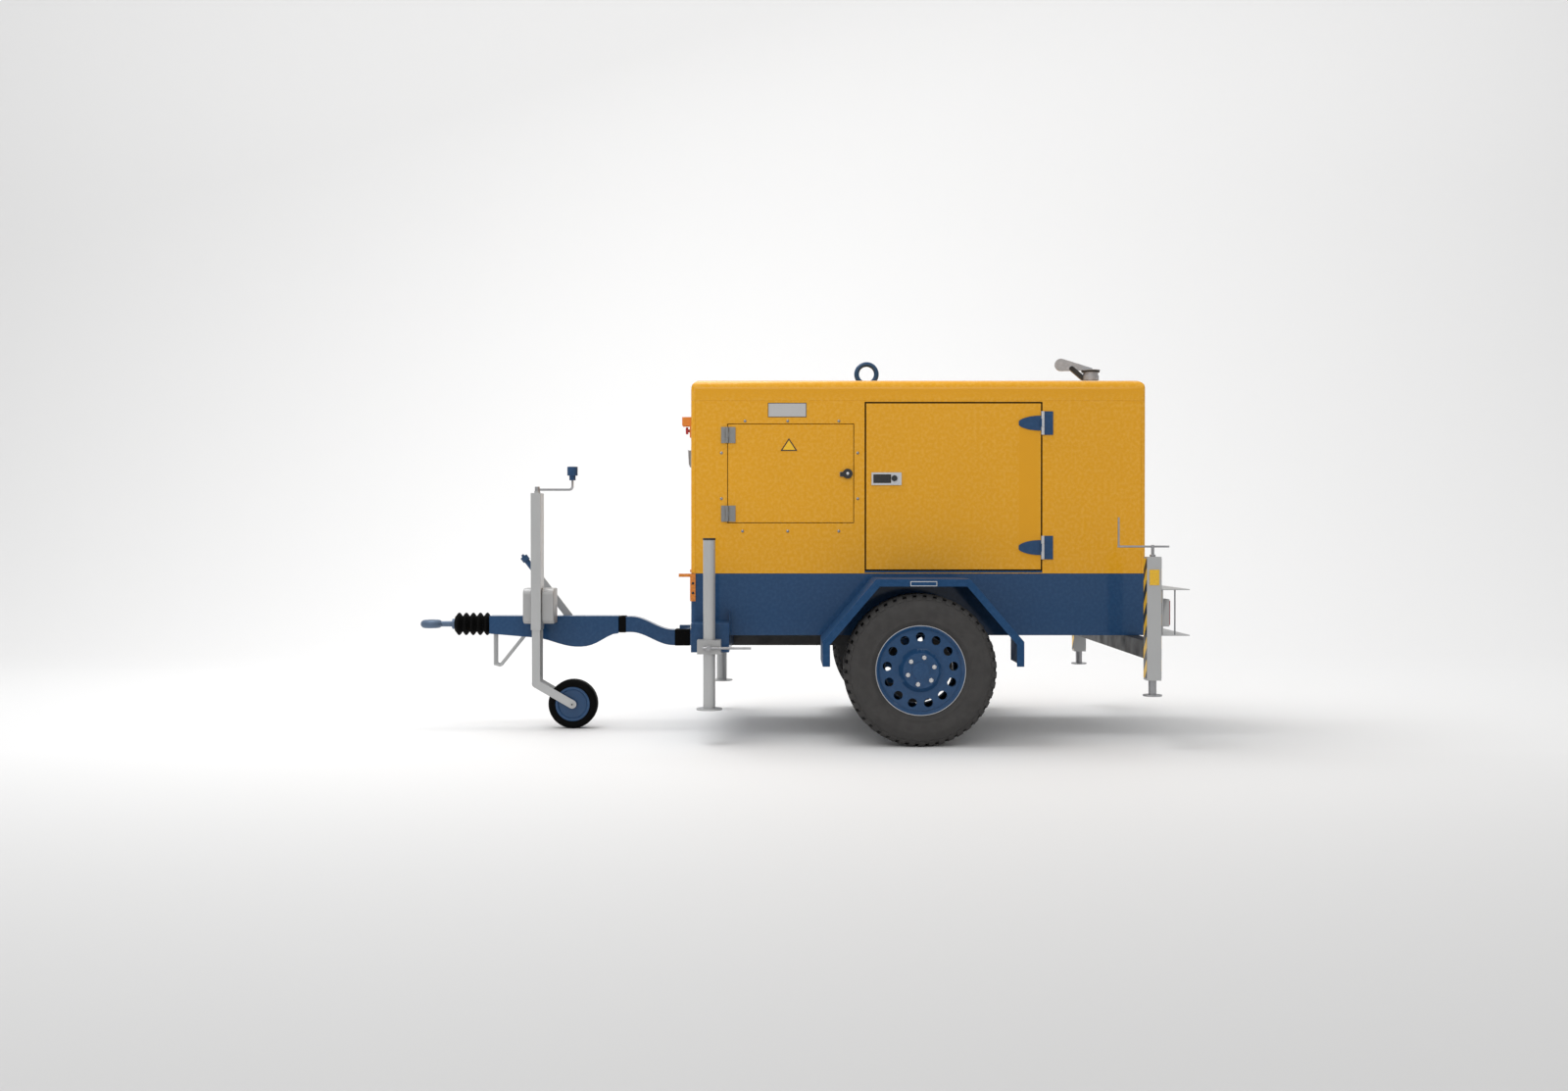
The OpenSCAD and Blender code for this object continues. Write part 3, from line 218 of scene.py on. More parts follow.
colours = {"yellow": (0.745, 0.343, 0.007), "blue": (0.014, 0.057, 0.142), "grey": (0.45, 0.455, 0.455)}
finishes = {
    "blue_paint": surface("bluePaint", colours["blue"], rough=(0.30, 0.36), coat=0.5, dirt=0.03,
                          dirtTop=0.7, edge=0.2, grainDepth=0.00001, specular=0.1),
    "fender_paint": surface("fenderPaint", colours["blue"], rough=(0.5, 0.6), dirt=0.08, dirtTop=0.8,
                            edge=0.2, specular=0.1),
    "yellow_paint": surface("yellowPaint", colours["yellow"], shade=0.975, rough=(0.30, 0.36), coat=0.5,
                            grainDepth=0.00001, specular=0.1, edgeColour=(0.92, 0.58, 0.14), edge=0.2),
    "grey_paint": satinMetal("greyPaint", colours["grey"], 0.36),
    "light_grey_paint": satinMetal("castGrey", (0.38, 0.38, 0.38), 0.42),
    "black_steel": surface("blackSteel", (0.022, 0.023, 0.025), rough=(0.42, 0.6), dirt=0.25, shade=0.7),
    "engine_paint": surface("enginePaint", (0.10, 0.12, 0.13), rough=(0.45, 0.65), grainScale=120.0,
                            grainDepth=0.0006),
    "black_rubber": surface("blackRubber", (0.003, 0.003, 0.003), rough=(0.6, 0.7), edge=0.0,
                            grainDepth=0.0001, specular=0.05),
    "tyre_rubber": tyreRubber("tyreRubber"),
    "amber_plastic": lens("amberLens", (0.85, 0.25, 0.01), 0.008),
    "marker_plastic": surface("markerFrame", (0.55, 0.56, 0.58), rough=(0.25, 0.35), edge=0.0),
    "orange_plastic": surface("orangePlastic", (0.75, 0.22, 0.02), rough=(0.35, 0.45), edge=0.2),
    "red_plastic": surface("redPlastic", (0.45, 0.012, 0.012), rough=(0.2, 0.3), coat=0.4, edge=0.0),
    "grey_plastic": surface("greyPlastic", (0.30, 0.31, 0.32), rough=(0.4, 0.5), edge=0.15,
                            grainDepth=0.0003),
    "black_plastic": surface("blackPlastic", (0.02, 0.02, 0.021), rough=(0.35, 0.5), edge=0.15,
                             grainDepth=0.0003),
    "steel": surface("brushedSteel", (0.36, 0.36, 0.37), rough=(0.3, 0.42), metal=0.75, shade=0.85,
                     stretch=(1, 1, 12), grainDepth=0.00008),
    "forged_steel": surface("forgedSteel", (0.10, 0.15, 0.23), rough=(0.4, 0.55), metal=0.3, grainScale=140.0,
                            grainDepth=0.0006, shade=0.8),
    "radiator_metal": surface("radiatorMetal", (0.06, 0.065, 0.07), rough=(0.5, 0.6), metal=0.4),
    "panel_paint": surface("panelPaint", (0.36, 0.37, 0.38), rough=(0.35, 0.45)),
    "chrome": surface("chromedSteel", (0.62, 0.62, 0.63), rough=(0.12, 0.22), metal=1.0, edge=0.0,
                      grainDepth=0.00002),
    "red_lens": lens("redLens", (0.42, 0.008, 0.008), 0.007),
    "clear_lens": lens("clearLens", (0.75, 0.75, 0.75), 0.006),
    "zinc": surface("zincPlate", (0.25, 0.25, 0.245), rough=(0.35, 0.45), metal=0.5, edge=0.1),
    "yellow_reflector": lens("yellowReflector", (0.95, 0.55, 0.01), 0.005),
    "blank_plate": surface("blankPlate", (0.49, 0.485, 0.48), rough=(0.35, 0.45), metal=0.1,
                           stretch=(12, 1, 1), edge=0.0),
    "hazard": hazardStripes("hazardStripes", (0.85, 0.50, 0.01), (0.012, 0.012, 0.012), 0.055),
    "foam": surface("acousticFoam", (0.035, 0.035, 0.037), rough=(0.8, 0.95), edge=0.0, grainScale=90.0,
                    grainDepth=0.004),
    "warning_yellow": surface("plateYellow", (0.90, 0.52, 0.02), rough=(0.3, 0.4), edge=0.0),
}
print("materials made:", len(finishes))


# helpers that make, round, turn and place a mesh
def meshObject(name, bm, material, smoothAngle=35):
    mesh = bpy.data.meshes.new(name)
    bm.normal_update()
    bm.to_mesh(mesh)
    bm.free()
    mesh.shade_smooth()
    mesh.set_sharp_from_angle(angle=math.radians(smoothAngle))
    obj = bpy.data.objects.new(name, mesh)
    bpy.context.scene.collection.objects.link(obj)
    mesh.materials.append(finishes[material])
    return obj


def settleNormals(obj):
    modifier = obj.modifiers.new("evenNormals", "WEIGHTED_NORMAL")
    modifier.keep_sharp = True
    bakeMesh(obj)


def bakeMesh(obj):
    bpy.context.view_layer.update()
    depsgraph = bpy.context.evaluated_depsgraph_get()
    made = bpy.data.meshes.new_from_object(obj.evaluated_get(depsgraph), depsgraph=depsgraph)
    obj.modifiers.clear()
    obj.data = made


def place(obj, body, slot, *replaced):
    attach(obj, body)
    if replaced:
        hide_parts(*replaced)
    return obj


def roundEdges(bm, width, segments=2, sharp=32):
    limit = math.radians(sharp)
    edges = [e for e in bm.edges if e.is_manifold and e.is_convex and e.calc_face_angle(0) > limit]
    wear = bm.verts.layers.float.get("edgeWear") or bm.verts.layers.float.new("edgeWear")
    made = bmesh.ops.bevel(bm, geom=edges, offset=width, offset_type="OFFSET", segments=segments,
                           profile=0.5, affect="EDGES", clamp_overlap=True)
    for vert in made["verts"]:
        vert[wear] = 1.0


def softCopy(node, width, material):
    # a CAD node's shape with its convex edges rounded
    bm = bmesh.new()
    bm.from_mesh(nodes[node].data)
    bmesh.ops.remove_doubles(bm, verts=bm.verts, dist=2e-5)
    bmesh.ops.dissolve_limit(bm, angle_limit=math.radians(0.6), verts=bm.verts, edges=bm.edges)
    roundEdges(bm, width)
    obj = meshObject(node + "_finished", bm, material)
    settleNormals(obj)
    return place(obj, bodyOf[node], slotOf[node], node)


def paintWhere(obj, material, test):
    obj.data.materials.append(finishes[material])
    index = len(obj.data.materials) - 1
    for face in obj.data.polygons:
        if test(face.center):
            face.material_index = index


def boxShape(bm, low, high):
    low, high = Vector(low), Vector(high)
    made = bmesh.ops.create_cube(bm, size=1)["verts"]
    bmesh.ops.scale(bm, vec=high - low, verts=made)
    bmesh.ops.translate(bm, vec=(low + high) / 2, verts=made)


def rodShape(bm, start, end, radius, corners):
    start, end = Vector(start), Vector(end)
    axis = end - start
    made = bmesh.ops.create_cone(bm, cap_ends=True, segments=corners, radius1=radius, radius2=radius,
                                 depth=axis.length)["verts"]
    turn = Vector((0, 0, 1)).rotation_difference(axis).to_matrix().to_4x4()
    bmesh.ops.transform(bm, matrix=Matrix.Translation((start + end) / 2) @ turn, verts=made)


def boxPiece(name, low, high, material, body, width, slot):
    bm = bmesh.new()
    boxShape(bm, low, high)
    roundEdges(bm, width)
    obj = meshObject(name, bm, material)
    settleNormals(obj)
    return place(obj, body, slot)


def latheShape(bm, profile, centre, axis, steps):
    # profile holds (radius, distance along the axis) pairs of a closed outline
    turn = Vector((0, 0, 1)).rotation_difference(Vector(axis)).to_matrix()
    rings = []
    for i in range(steps):
        angle = 2 * math.pi * i / steps
        spots = [Vector((r * math.cos(angle), r * math.sin(angle), h)) for r, h in profile]
        rings.append([bm.verts.new(Vector(centre) + turn @ spot) for spot in spots])
    count = len(profile)
    for i in range(steps):
        first, second = rings[i], rings[(i + 1) % steps]
        for k in range(count):
            bm.faces.new((first[k], second[k], second[(k + 1) % count], first[(k + 1) % count]))
    bmesh.ops.recalc_face_normals(bm, faces=bm.faces)


def lathePiece(name, profile, centre, axis, material, body, slot, *replaced, steps, angle=35):
    bm = bmesh.new()
    latheShape(bm, profile, centre, axis, steps)
    return place(meshObject(name, bm, material, angle), body, slot, *replaced)


# geometry node trees: copies round an axis, and screw heads at points
def startTree(name, inputs):
    tree = bpy.data.node_groups.new(name, "GeometryNodeTree")
    tree.interface.new_socket("Geometry", in_out="INPUT", socket_type="NodeSocketGeometry")
    for label, kind, value in inputs:
        socket = tree.interface.new_socket(label, in_out="INPUT", socket_type="NodeSocket" + kind)
        if value is not None:
            socket.default_value = value
    tree.interface.new_socket("Geometry", in_out="OUTPUT", socket_type="NodeSocketGeometry")
    return tree, tree.nodes.new("NodeGroupInput"), tree.nodes.new("NodeGroupOutput")


def endTree(tree, start, end, geometry):
    realize = tree.nodes.new("GeometryNodeRealizeInstances")
    paint = tree.nodes.new("GeometryNodeSetMaterial")
    link(tree, geometry, realize.inputs[0])
    link(tree, realize.outputs[0], paint.inputs["Geometry"])
    link(tree, start.outputs["Material"], paint.inputs["Material"])
    link(tree, paint.outputs[0], end.inputs[0])


def makeRingTree():
    # repeats the object's own mesh round the Z axis
    tree, start, end = startTree("repeatRound", [("Count", "Int", 12), ("Turn", "Float", 0.0),
                                                 ("Material", "Material", None)])
    points = tree.nodes.new("GeometryNodePoints")
    index = tree.nodes.new("GeometryNodeInputIndex")
    share = addNode(tree, "ShaderNodeMath", operation="DIVIDE")
    link(tree, index.outputs[0], share.inputs[0])
    link(tree, start.outputs["Count"], share.inputs[1])
    full = addNode(tree, "ShaderNodeMath", operation="MULTIPLY_ADD")
    link(tree, share.outputs[0], full.inputs[0])
    full.inputs[1].default_value = 2 * math.pi
    link(tree, start.outputs["Turn"], full.inputs[2])
    angles = tree.nodes.new("ShaderNodeCombineXYZ")
    link(tree, full.outputs[0], angles.inputs["Z"])
    link(tree, start.outputs["Count"], points.inputs["Count"])
    copies = tree.nodes.new("GeometryNodeInstanceOnPoints")
    link(tree, points.outputs[0], copies.inputs["Points"])
    link(tree, start.outputs["Geometry"], copies.inputs["Instance"])
    link(tree, angles.outputs[0], copies.inputs["Rotation"])
    endTree(tree, start, end, copies.outputs[0])
    return tree


def makeScrewTree():
    # a domed screw head with its washer at every point of the object's mesh
    tree, start, end = startTree("screwHeads", [("Head", "Float", 0.005), ("Height", "Float", 0.003),
                                                ("Rotation", "Vector", None), ("Material", "Material", None)])
    washer = addNode(tree, "GeometryNodeMeshCylinder", Vertices=20)
    wide = addNode(tree, "ShaderNodeMath", operation="MULTIPLY")
    wide.inputs[1].default_value = 1.5
    link(tree, start.outputs["Head"], wide.inputs[0])
    link(tree, wide.outputs[0], washer.inputs["Radius"])
    washer.inputs["Depth"].default_value = 0.0016
    dome = addNode(tree, "GeometryNodeMeshUVSphere", Segments=16, Rings=8)
    link(tree, start.outputs["Head"], dome.inputs["Radius"])
    join = tree.nodes.new("GeometryNodeJoinGeometry")
    squash = tree.nodes.new("GeometryNodeTransform")
    squash.inputs["Scale"].default_value = (1, 1, 0.55)
    link(tree, dome.outputs["Mesh"], squash.inputs["Geometry"])
    link(tree, washer.outputs["Mesh"], join.inputs[0])
    link(tree, squash.outputs[0], join.inputs[0])
    smooth = tree.nodes.new("GeometryNodeSetShadeSmooth")
    link(tree, join.outputs[0], smooth.inputs["Geometry"])
    copies = tree.nodes.new("GeometryNodeInstanceOnPoints")
    link(tree, start.outputs["Geometry"], copies.inputs["Points"])
    link(tree, smooth.outputs[0], copies.inputs["Instance"])
    link(tree, start.outputs["Rotation"], copies.inputs["Rotation"])
    endTree(tree, start, end, copies.outputs[0])
    return tree


trees = {"ring": makeRingTree(), "screws": makeScrewTree()}


def runTree(obj, treeName, **values):
    modifier = obj.modifiers.new(treeName, "NODES")
    modifier.node_group = trees[treeName]
    sockets = {s.name: s.identifier for s in trees[treeName].interface.items_tree if s.in_out == "INPUT"}
    for label, value in values.items():
        modifier[sockets[label]] = value
    bakeMesh(obj)


def roundCopies(name, template, count, material, centre, axis, body, slot, turn=0.0):
    # template is a bmesh built about the Z axis; the ring is then laid on the wheel's axis
    obj = meshObject(name, template, material)
    runTree(obj, "ring", Count=count, Turn=turn, Material=finishes[material])
    lay = Vector((0, 0, 1)).rotation_difference(Vector(axis)).to_matrix().to_4x4()
    obj.data.transform(Matrix.Translation(centre) @ lay)
    obj.data.update()
    return place(obj, body, slot)


def screwsAt(name, points, facing, material, body, head):
    bm = bmesh.new()
    for point in points:
        bm.verts.new(point)
    obj = meshObject(name, bm, material)
    turn = Vector((0, 0, 1)).rotation_difference(Vector(facing)).to_euler()
    runTree(obj, "screws", Head=head, Rotation=tuple(turn), Material=finishes[material])
    return place(obj, body, "steel")


# the floor's "front" colour and its fade are painted shade: the floor is made darker towards the camera
studio = {
    "camera": (-0.050, -8.29, 1.033), "pitch": -0.42, "lens": 35.0, "filmWidth": 36.0,
    "floor": 0.80, "front": 0.58, "frontShadeFade": (-5.5, -1.0), "floorRough": 0.75, "world": 0.66,
    "floorStart": -14.0, "wallAt": 9.0, "halfWidth": 22.0, "wallTop": 12.0, "bend": 5.0, "bendSteps": 16,
}
softboxes = {  # place, aim, size and power
    "keySoftbox": ((-0.5, -9.0, 5.5), (0.3, 0, 0.8), (9.0, 3.5), 165),
    "topSoftbox": ((-2.0, 0.8, 7.0), (0, 0.3, 0.5), (7, 4), 330),
    "wallWash": ((0, 3.0, 8.5), (0, 9.5, 2.0), (22, 2), 360),
}


def makeStage():
    # a floor that bends up into a wall behind the machine
    bm = bmesh.new()
    back, side, bend = studio["wallAt"], studio["halfWidth"], studio["bend"]
    angles = [math.pi / 2 * i / studio["bendSteps"] for i in range(1, studio["bendSteps"] + 1)]
    outline = [(studio["floorStart"], 0.0), (back - bend, 0.0)]
    outline += [(back - bend + bend * math.sin(a), bend - bend * math.cos(a)) for a in angles]
    outline += [(back, studio["wallTop"])]
    rows = [[bm.verts.new((x, y, z)) for y, z in outline] for x in (-side, side)]
    for k in range(len(outline) - 1):
        bm.faces.new((rows[0][k], rows[1][k], rows[1][k + 1], rows[0][k + 1]))
    mat, tree, shader, coords = startMaterial("paleFloor")
    pale, front = (studio["floor"],) * 3, (studio["front"],) * 3
    parts = addNode(tree, "ShaderNodeSeparateXYZ")
    link(tree, coords, parts.inputs[0])
    # painted shade: the floor colour goes from "floor" far off to the darker "front" near the camera
    near = spread(tree, parts.outputs["Y"], 1, 0, *studio["frontShadeFade"])
    link(tree, mixed(tree, near, pale, front), shader.inputs["Base Color"])
    shader.inputs["Roughness"].default_value = studio["floorRough"]
    finishes["floor"] = mat
    meshObject("floor", bm, "floor", 60)


def areaLight(name, spot, aim, size, power):
    data = bpy.data.lights.new(name, "AREA")
    data.shape, data.size, data.size_y, data.energy = "RECTANGLE", size[0], size[1], power
    lamp = bpy.data.objects.new(name, data)
    bpy.context.scene.collection.objects.link(lamp)
    lamp.location = spot
    lamp.rotation_euler = (Vector(aim) - Vector(spot)).to_track_quat("-Z", "Y").to_euler()


def makeStudio():
    scene = bpy.context.scene
    data = bpy.data.cameras.new("camera")
    data.lens, data.sensor_width = studio["lens"], studio["filmWidth"]
    data.clip_end = 200
    camera = bpy.data.objects.new("camera", data)
    scene.collection.objects.link(camera)
    camera.location = studio["camera"]
    camera.rotation_euler = (math.radians(90 + studio["pitch"]), 0, 0)
    scene.camera = camera
    world = bpy.data.worlds.new("softSky")
    world.use_nodes = True
    world.node_tree.nodes["Background"].inputs[0].default_value = (1, 1, 1, 1)
    world.node_tree.nodes["Background"].inputs[1].default_value = studio["world"]
    scene.world = world
    scene.view_settings.view_transform = "Standard"
    for name, (spot, aim, size, power) in softboxes.items():
        areaLight(name, spot, aim, size, power)


makeStage()
makeStudio()
print("studio ready")

# the CAD shapes with rounded edges; the width is in metres
edgeWidth = {
    "roof": 0.0012, "canopy_near": 0.0014, "canopy_ends": 0.0014, "canopy_far": 0.0012, "base_frame": 0.0015,
    "fenders": 0.0015, "lifting_eye": 0.002, "drawbar_beam": 0.004, "drawbar_tube": 0.006,
    "jockey_clamp": 0.006, "front_leg_beam": 0.003, "leg_clamps": 0.005, "underframe": 0.004,
    "rear_carrier": 0.0012, "rear_leg_tubes": 0.004, "jockey_mast": 0.005, "jockey_leg": 0.0012,
    "jockey_rim": 0.003, "jockey_tyre": 0.003, "tow_eye_shank": 0.002, "engine": 0.006, "alternator": 0.006,
    "radiator": 0.003, "battery": 0.004, "fuel_tank": 0.004,
}
madeByHand = {"bellows", "tyre_near", "tyre_far"}
finishFor = {"jockey_tyre": "black_rubber", "fenders": "fender_paint"}
plainNodes = [n for n in sorted(nodes) if n not in madeByHand]
soft = {n: softCopy(n, edgeWidth.get(n, 0.001), finishFor.get(n, slotOf[n])) for n in plainNodes}
print("rounded copies made:", len(soft))

# second colours on the copied shapes, face by face
sheetY = 0.5004  # just outside the canopy's sheet metal
hinge = jointAt["door_swing_near"]
pinReach = 0.0088
doorParts = {"strapX": 1.10, "plateX": (0.390, 0.560), "lockY": 0.5084, "lock": (0.5136, 1.319),
             "lockReach": 0.0158}
panelParts = {"hingeX": -0.29, "plateX": (-0.08, 0.03), "lockTipX": 0.2495}
topParts = {"stubZ": 1.9105, "outletTop": 1.5, "knobZ": 1.3205}
lampBoard = {"x": (1.923, 1.965), "z": (0.55, 0.71)}
instruments = {"glassY": -0.4215, "glassZ": 1.43, "switchY": -0.411, "redX": -0.22, "redZ": 1.375,
               "breakerX": 0.115}


def roundPin(c):
    return math.hypot(c.x - hinge.x, abs(c.y) - abs(hinge.y)) < pinReach


def onDoorLock(c):
    lockX, lockZ = doorParts["lock"]
    return abs(c.y) > doorParts["lockY"] and math.hypot(c.x - lockX, c.z - lockZ) < doorParts["lockReach"]


def proudBetween(span):
    return lambda c: abs(c.y) > sheetY and span[0] < c.x < span[1]


for side in sides:
    door = soft["door_" + side]
    paintWhere(door, "blue_paint", lambda c: abs(c.y) > sheetY and c.x > doorParts["strapX"])
    paintWhere(door, "marker_plastic", roundPin)
    paintWhere(door, "marker_plastic", proudBetween(doorParts["plateX"]))
    paintWhere(door, "black_plastic", onDoorLock)
paintWhere(soft["hinge_plates"], "zinc", lambda c: c.x < 0)  # the panel door's block hinges
paintWhere(soft["hinge_plates"], "marker_plastic", roundPin)
paintWhere(soft["panel_door"], "zinc", lambda c: abs(c.y) > sheetY and c.x < panelParts["hingeX"])
paintWhere(soft["panel_door"], "warning_yellow", proudBetween(panelParts["plateX"]))
paintWhere(soft["panel_lock"], "grey_plastic", lambda c: c.x < panelParts["lockTipX"])
paintWhere(soft["side_markers"], "marker_plastic", lambda c: c.x > 0)
paintWhere(soft["front_fittings"], "grey_plastic", lambda c: c.z < topParts["outletTop"])
paintWhere(soft["rear_carrier"], "grey_plastic", lambda c: lampBoard["x"][0] < c.x < lampBoard["x"][1]
           and lampBoard["z"][0] < c.z < lampBoard["z"][1])
paintWhere(soft["exhaust"], "black_steel", lambda c: c.z > topParts["stubZ"])
paintWhere(soft["jockey_crank"], "blue_paint", lambda c: c.z > topParts["knobZ"])
panelFace = soft["instrument_panel"]
paintWhere(panelFace, "clear_lens", lambda c: c.y < instruments["glassY"] and c.z > instruments["glassZ"])
paintWhere(panelFace, "red_plastic", lambda c: c.y < instruments["switchY"] and c.z < instruments["redZ"]
           and c.x < instruments["redX"])
paintWhere(panelFace, "black_plastic", lambda c: c.y < instruments["switchY"]
           and c.x > instruments["breakerX"])

gripLength = 0.135
leverPin = jointAt["brake_lever_pull"]
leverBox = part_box("brake_lever")
leverEnd = Vector((leverBox[0].x, leverPin.y, leverBox[1].z))
leverWay = (leverEnd - leverPin).normalized()
leverGrip = (leverEnd - leverPin).length - gripLength
paintWhere(soft["brake_lever"], "blue_paint", lambda c: (c - leverPin).dot(leverWay) > leverGrip)

wheel = {
    "nuts": 6, "nutRing": 0.0665, "nutTurn": 17, "nutFace": 0.1045, "nutReach": 0.0130,
    "stud": (0.1155, 0.1190), "studRadius": 0.0060,
    "lip": [(0.2162, 0.0895), (0.2192, 0.0895), (0.2195, 0.0922), (0.2186, 0.0932), (0.2166, 0.0932)],
}
wheelCentre = {s: (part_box("tyre_" + s)[0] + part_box("tyre_" + s)[1]) / 2 for s in sides}


def onNut(c, centre):
    if abs(c.y - centre.y) < wheel["nutFace"]:
        return False
    spots = [math.radians(wheel["nutTurn"] + 360 / wheel["nuts"] * i) for i in range(wheel["nuts"])]
    return min(math.hypot(c.x - centre.x - wheel["nutRing"] * math.cos(a),
                          c.z - centre.z - wheel["nutRing"] * math.sin(a)) for a in spots) < wheel["nutReach"]


for side in sides:
    paintWhere(soft["rim_" + side], "chrome", lambda c: onNut(c, wheelCentre[side]))
print("second colours set")

tyre = {  # outlines are (radius, distance from the middle plane) pairs
    "lugs": 46, "skew": 0.55, "lugShare": 0.62, "grooveShadeRadius": 0.3525, "lugEdge": 0.0012,
    "wall": [(0.2065, 0.080), (0.212, 0.086), (0.2205, 0.0905), (0.226, 0.094), (0.231, 0.1015),
             (0.240, 0.1065), (0.243, 0.1085), (0.247, 0.1085), (0.250, 0.1075), (0.262, 0.1095),
             (0.266, 0.1115), (0.300, 0.1120), (0.303, 0.1125), (0.307, 0.1125), (0.310, 0.1115),
             (0.326, 0.1095), (0.338, 0.1055), (0.348, 0.100), (0.357, 0.092), (0.3620, 0.080),
             (0.3632, 0.060)],
    "core": [(0.214, 0.074), (0.236, 0.088), (0.300, 0.098), (0.338, 0.090), (0.350, 0.072)],
    "shoulder": [(0.359, 0.056), (0.3715, 0.056), (0.3717, 0.073), (0.3685, 0.0825), (0.3620, 0.0945),
                 (0.3510, 0.1040), (0.3440, 0.1062), (0.3420, 0.1010), (0.352, 0.090)],
    "middle": [(0.359, 0.007), (0.3719, 0.007), (0.3717, 0.047), (0.359, 0.047)],
}


def sweptBlock(bm, profile, start, end, steps, skew):
    # one tread lug, turned further round the further it is from the middle plane
    rings = []
    for i in range(steps + 1):
        angle = start + (end - start) * i / steps
        rings.append([bm.verts.new((r * math.cos(angle + skew * h), r * math.sin(angle + skew * h), h))
                      for r, h in profile])
    count = len(profile)
    for first, second in zip(rings, rings[1:]):
        for k in range(count):
            n = (k + 1) % count
            bm.faces.new((first[k], second[k], second[n], first[n]))
    bm.faces.new(rings[0][::-1])
    bm.faces.new(rings[-1])


def makeTyre(side):
    centre = wheelCentre[side]
    axis = (0, sides[side], 0)
    body = bodyOf["tyre_" + side]
    flip = [(r, -h) for r, h in tyre["wall"]][::-1]
    core = [(r, -h) for r, h in tyre["core"]] + tyre["core"][::-1]
    casing = lathePiece("tyreCasing_" + side, tyre["wall"] + flip + core, centre, axis, "tyre_rubber", body,
                        "tyre_rubber", "tyre_" + side, steps=120, angle=28)
    # painted shade: beyond this radius the casing, the floor of the tread grooves, is painted near-black rubber
    paintWhere(casing, "black_rubber", lambda c: math.hypot(c.x - centre.x, c.z - centre.z) > tyre["grooveShadeRadius"])
    pitch = 2 * math.pi / tyre["lugs"]
    half = pitch * tyre["lugShare"] / 2
    bm = bmesh.new()
    for way in (-1, 1):
        for row, shift in (("shoulder", 0.0), ("middle", 0.5)):
            profile = [(r, way * h) for r, h in tyre[row]]
            offset = pitch * (shift + (0.25 if way > 0 else 0))
            sweptBlock(bm, profile, offset - half, offset + half, 2, way * tyre["skew"])
    bmesh.ops.recalc_face_normals(bm, faces=bm.faces)
    roundEdges(bm, tyre["lugEdge"], 1, 40)
    roundCopies("tyreTread_" + side, bm, tyre["lugs"], "tyre_rubber", centre, axis, body, "tyre_rubber")


def makeWheelFittings(side):
    centre = wheelCentre[side]
    way = sides[side]
    body = bodyOf["rim_" + side]
    bm = bmesh.new()
    inner, outer = wheel["stud"]
    rodShape(bm, (wheel["nutRing"], 0, inner), (wheel["nutRing"], 0, outer), wheel["studRadius"], 16)
    roundEdges(bm, 0.0012)
    roundCopies("wheelStuds_" + side, bm, wheel["nuts"], "chrome", centre, (0, way, 0), body, "steel",
                math.radians(wheel["nutTurn"]) * -way)
    lathePiece("rimLip_" + side, wheel["lip"], centre, (0, way, 0), "marker_plastic", body, "grey_paint",
               steps=96)


for side in sides:
    makeTyre(side)
    makeWheelFittings(side)
print("tyres and wheel fittings made")

bellows = {"crest": 0.0618, "valley": 0.0425, "folds": 5, "wall": 0.004, "steps": 12, "travel": 0.09}
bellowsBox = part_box("bellows")
bellowsLength = bellowsBox[1].x - bellowsBox[0].x
bellowsZ = (bellowsBox[0].z + bellowsBox[1].z) / 2
wave = []
for i in range(bellows["folds"] * bellows["steps"] + 1):
    swell = (0.5 - 0.5 * math.cos(2 * math.pi * i / bellows["steps"])) ** 0.8
    radius = bellows["valley"] + (bellows["crest"] - bellows["valley"]) * swell
    wave.append((radius, bellowsLength * i / (bellows["folds"] * bellows["steps"])))
inside = [(r - bellows["wall"], h) for r, h in wave[::-1]]
boot = lathePiece("bellowsRubber", wave + inside, (bellowsBox[0].x, 0, bellowsZ), (1, 0, 0), "black_rubber",
                  bodyOf["bellows"], "black_rubber", "bellows", steps=64, angle=60)
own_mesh(boot)
print("bellows made")


def ringPrism(bm, outer, inner, y0, y1):
    # a flat frame between two outlines in the XZ plane
    front, frontIn, back, backIn = [[bm.verts.new((x, y, z)) for x, z in line]
                                    for y in (y0, y1) for line in (outer, inner)]
    for k in range(len(outer)):
        n = (k + 1) % len(outer)
        bm.faces.new((front[k], front[n], frontIn[n], frontIn[k]))
        bm.faces.new((back[k], backIn[k], backIn[n], back[n]))
        bm.faces.new((front[k], back[k], back[n], front[n]))
        bm.faces.new((frontIn[k], frontIn[n], backIn[n], backIn[k]))
    bmesh.ops.recalc_face_normals(bm, faces=bm.faces)


def rectLine(low, high, inset=0.0):
    return [(low[0] + inset, low[1] + inset), (high[0] - inset, low[1] + inset),
            (high[0] - inset, high[1] - inset), (low[0] + inset, high[1] - inset)]


doorway = {"low": (0.362, 0.846), "high": (1.270, 1.709), "rubber": 0.0070, "front": 0.4992,
           "back": 0.487}
# a black rubber seal flush in each door gap; partly a real seal, its black also paints the shade inside the gap
for side, way in sides.items():
    bm = bmesh.new()
    outer = rectLine(doorway["low"], doorway["high"])
    inner = rectLine(doorway["low"], doorway["high"], doorway["rubber"])
    ringPrism(bm, outer, inner, way * doorway["front"], way * doorway["back"])
    place(meshObject("doorSealShade_" + side, bm, "black_rubber"), "chassis", "black_rubber")

triangle = {"points": [(-0.068, 1.459), (0.018, 1.459), (-0.025, 1.524)], "hub": (-0.025, 1.4812),
            "line": 0.77, "front": -0.5021, "back": -0.5012}


def triangleLine(share):
    hub = triangle["hub"]
    return [tuple(h + share * (p - h) for p, h in zip(point, hub)) for point in triangle["points"]]


bm = bmesh.new()
ringPrism(bm, triangleLine(1), triangleLine(triangle["line"]), triangle["front"], triangle["back"])
place(meshObject("plateBorder", bm, "black_plastic"), bodyOf["panel_door"], "black_plastic")

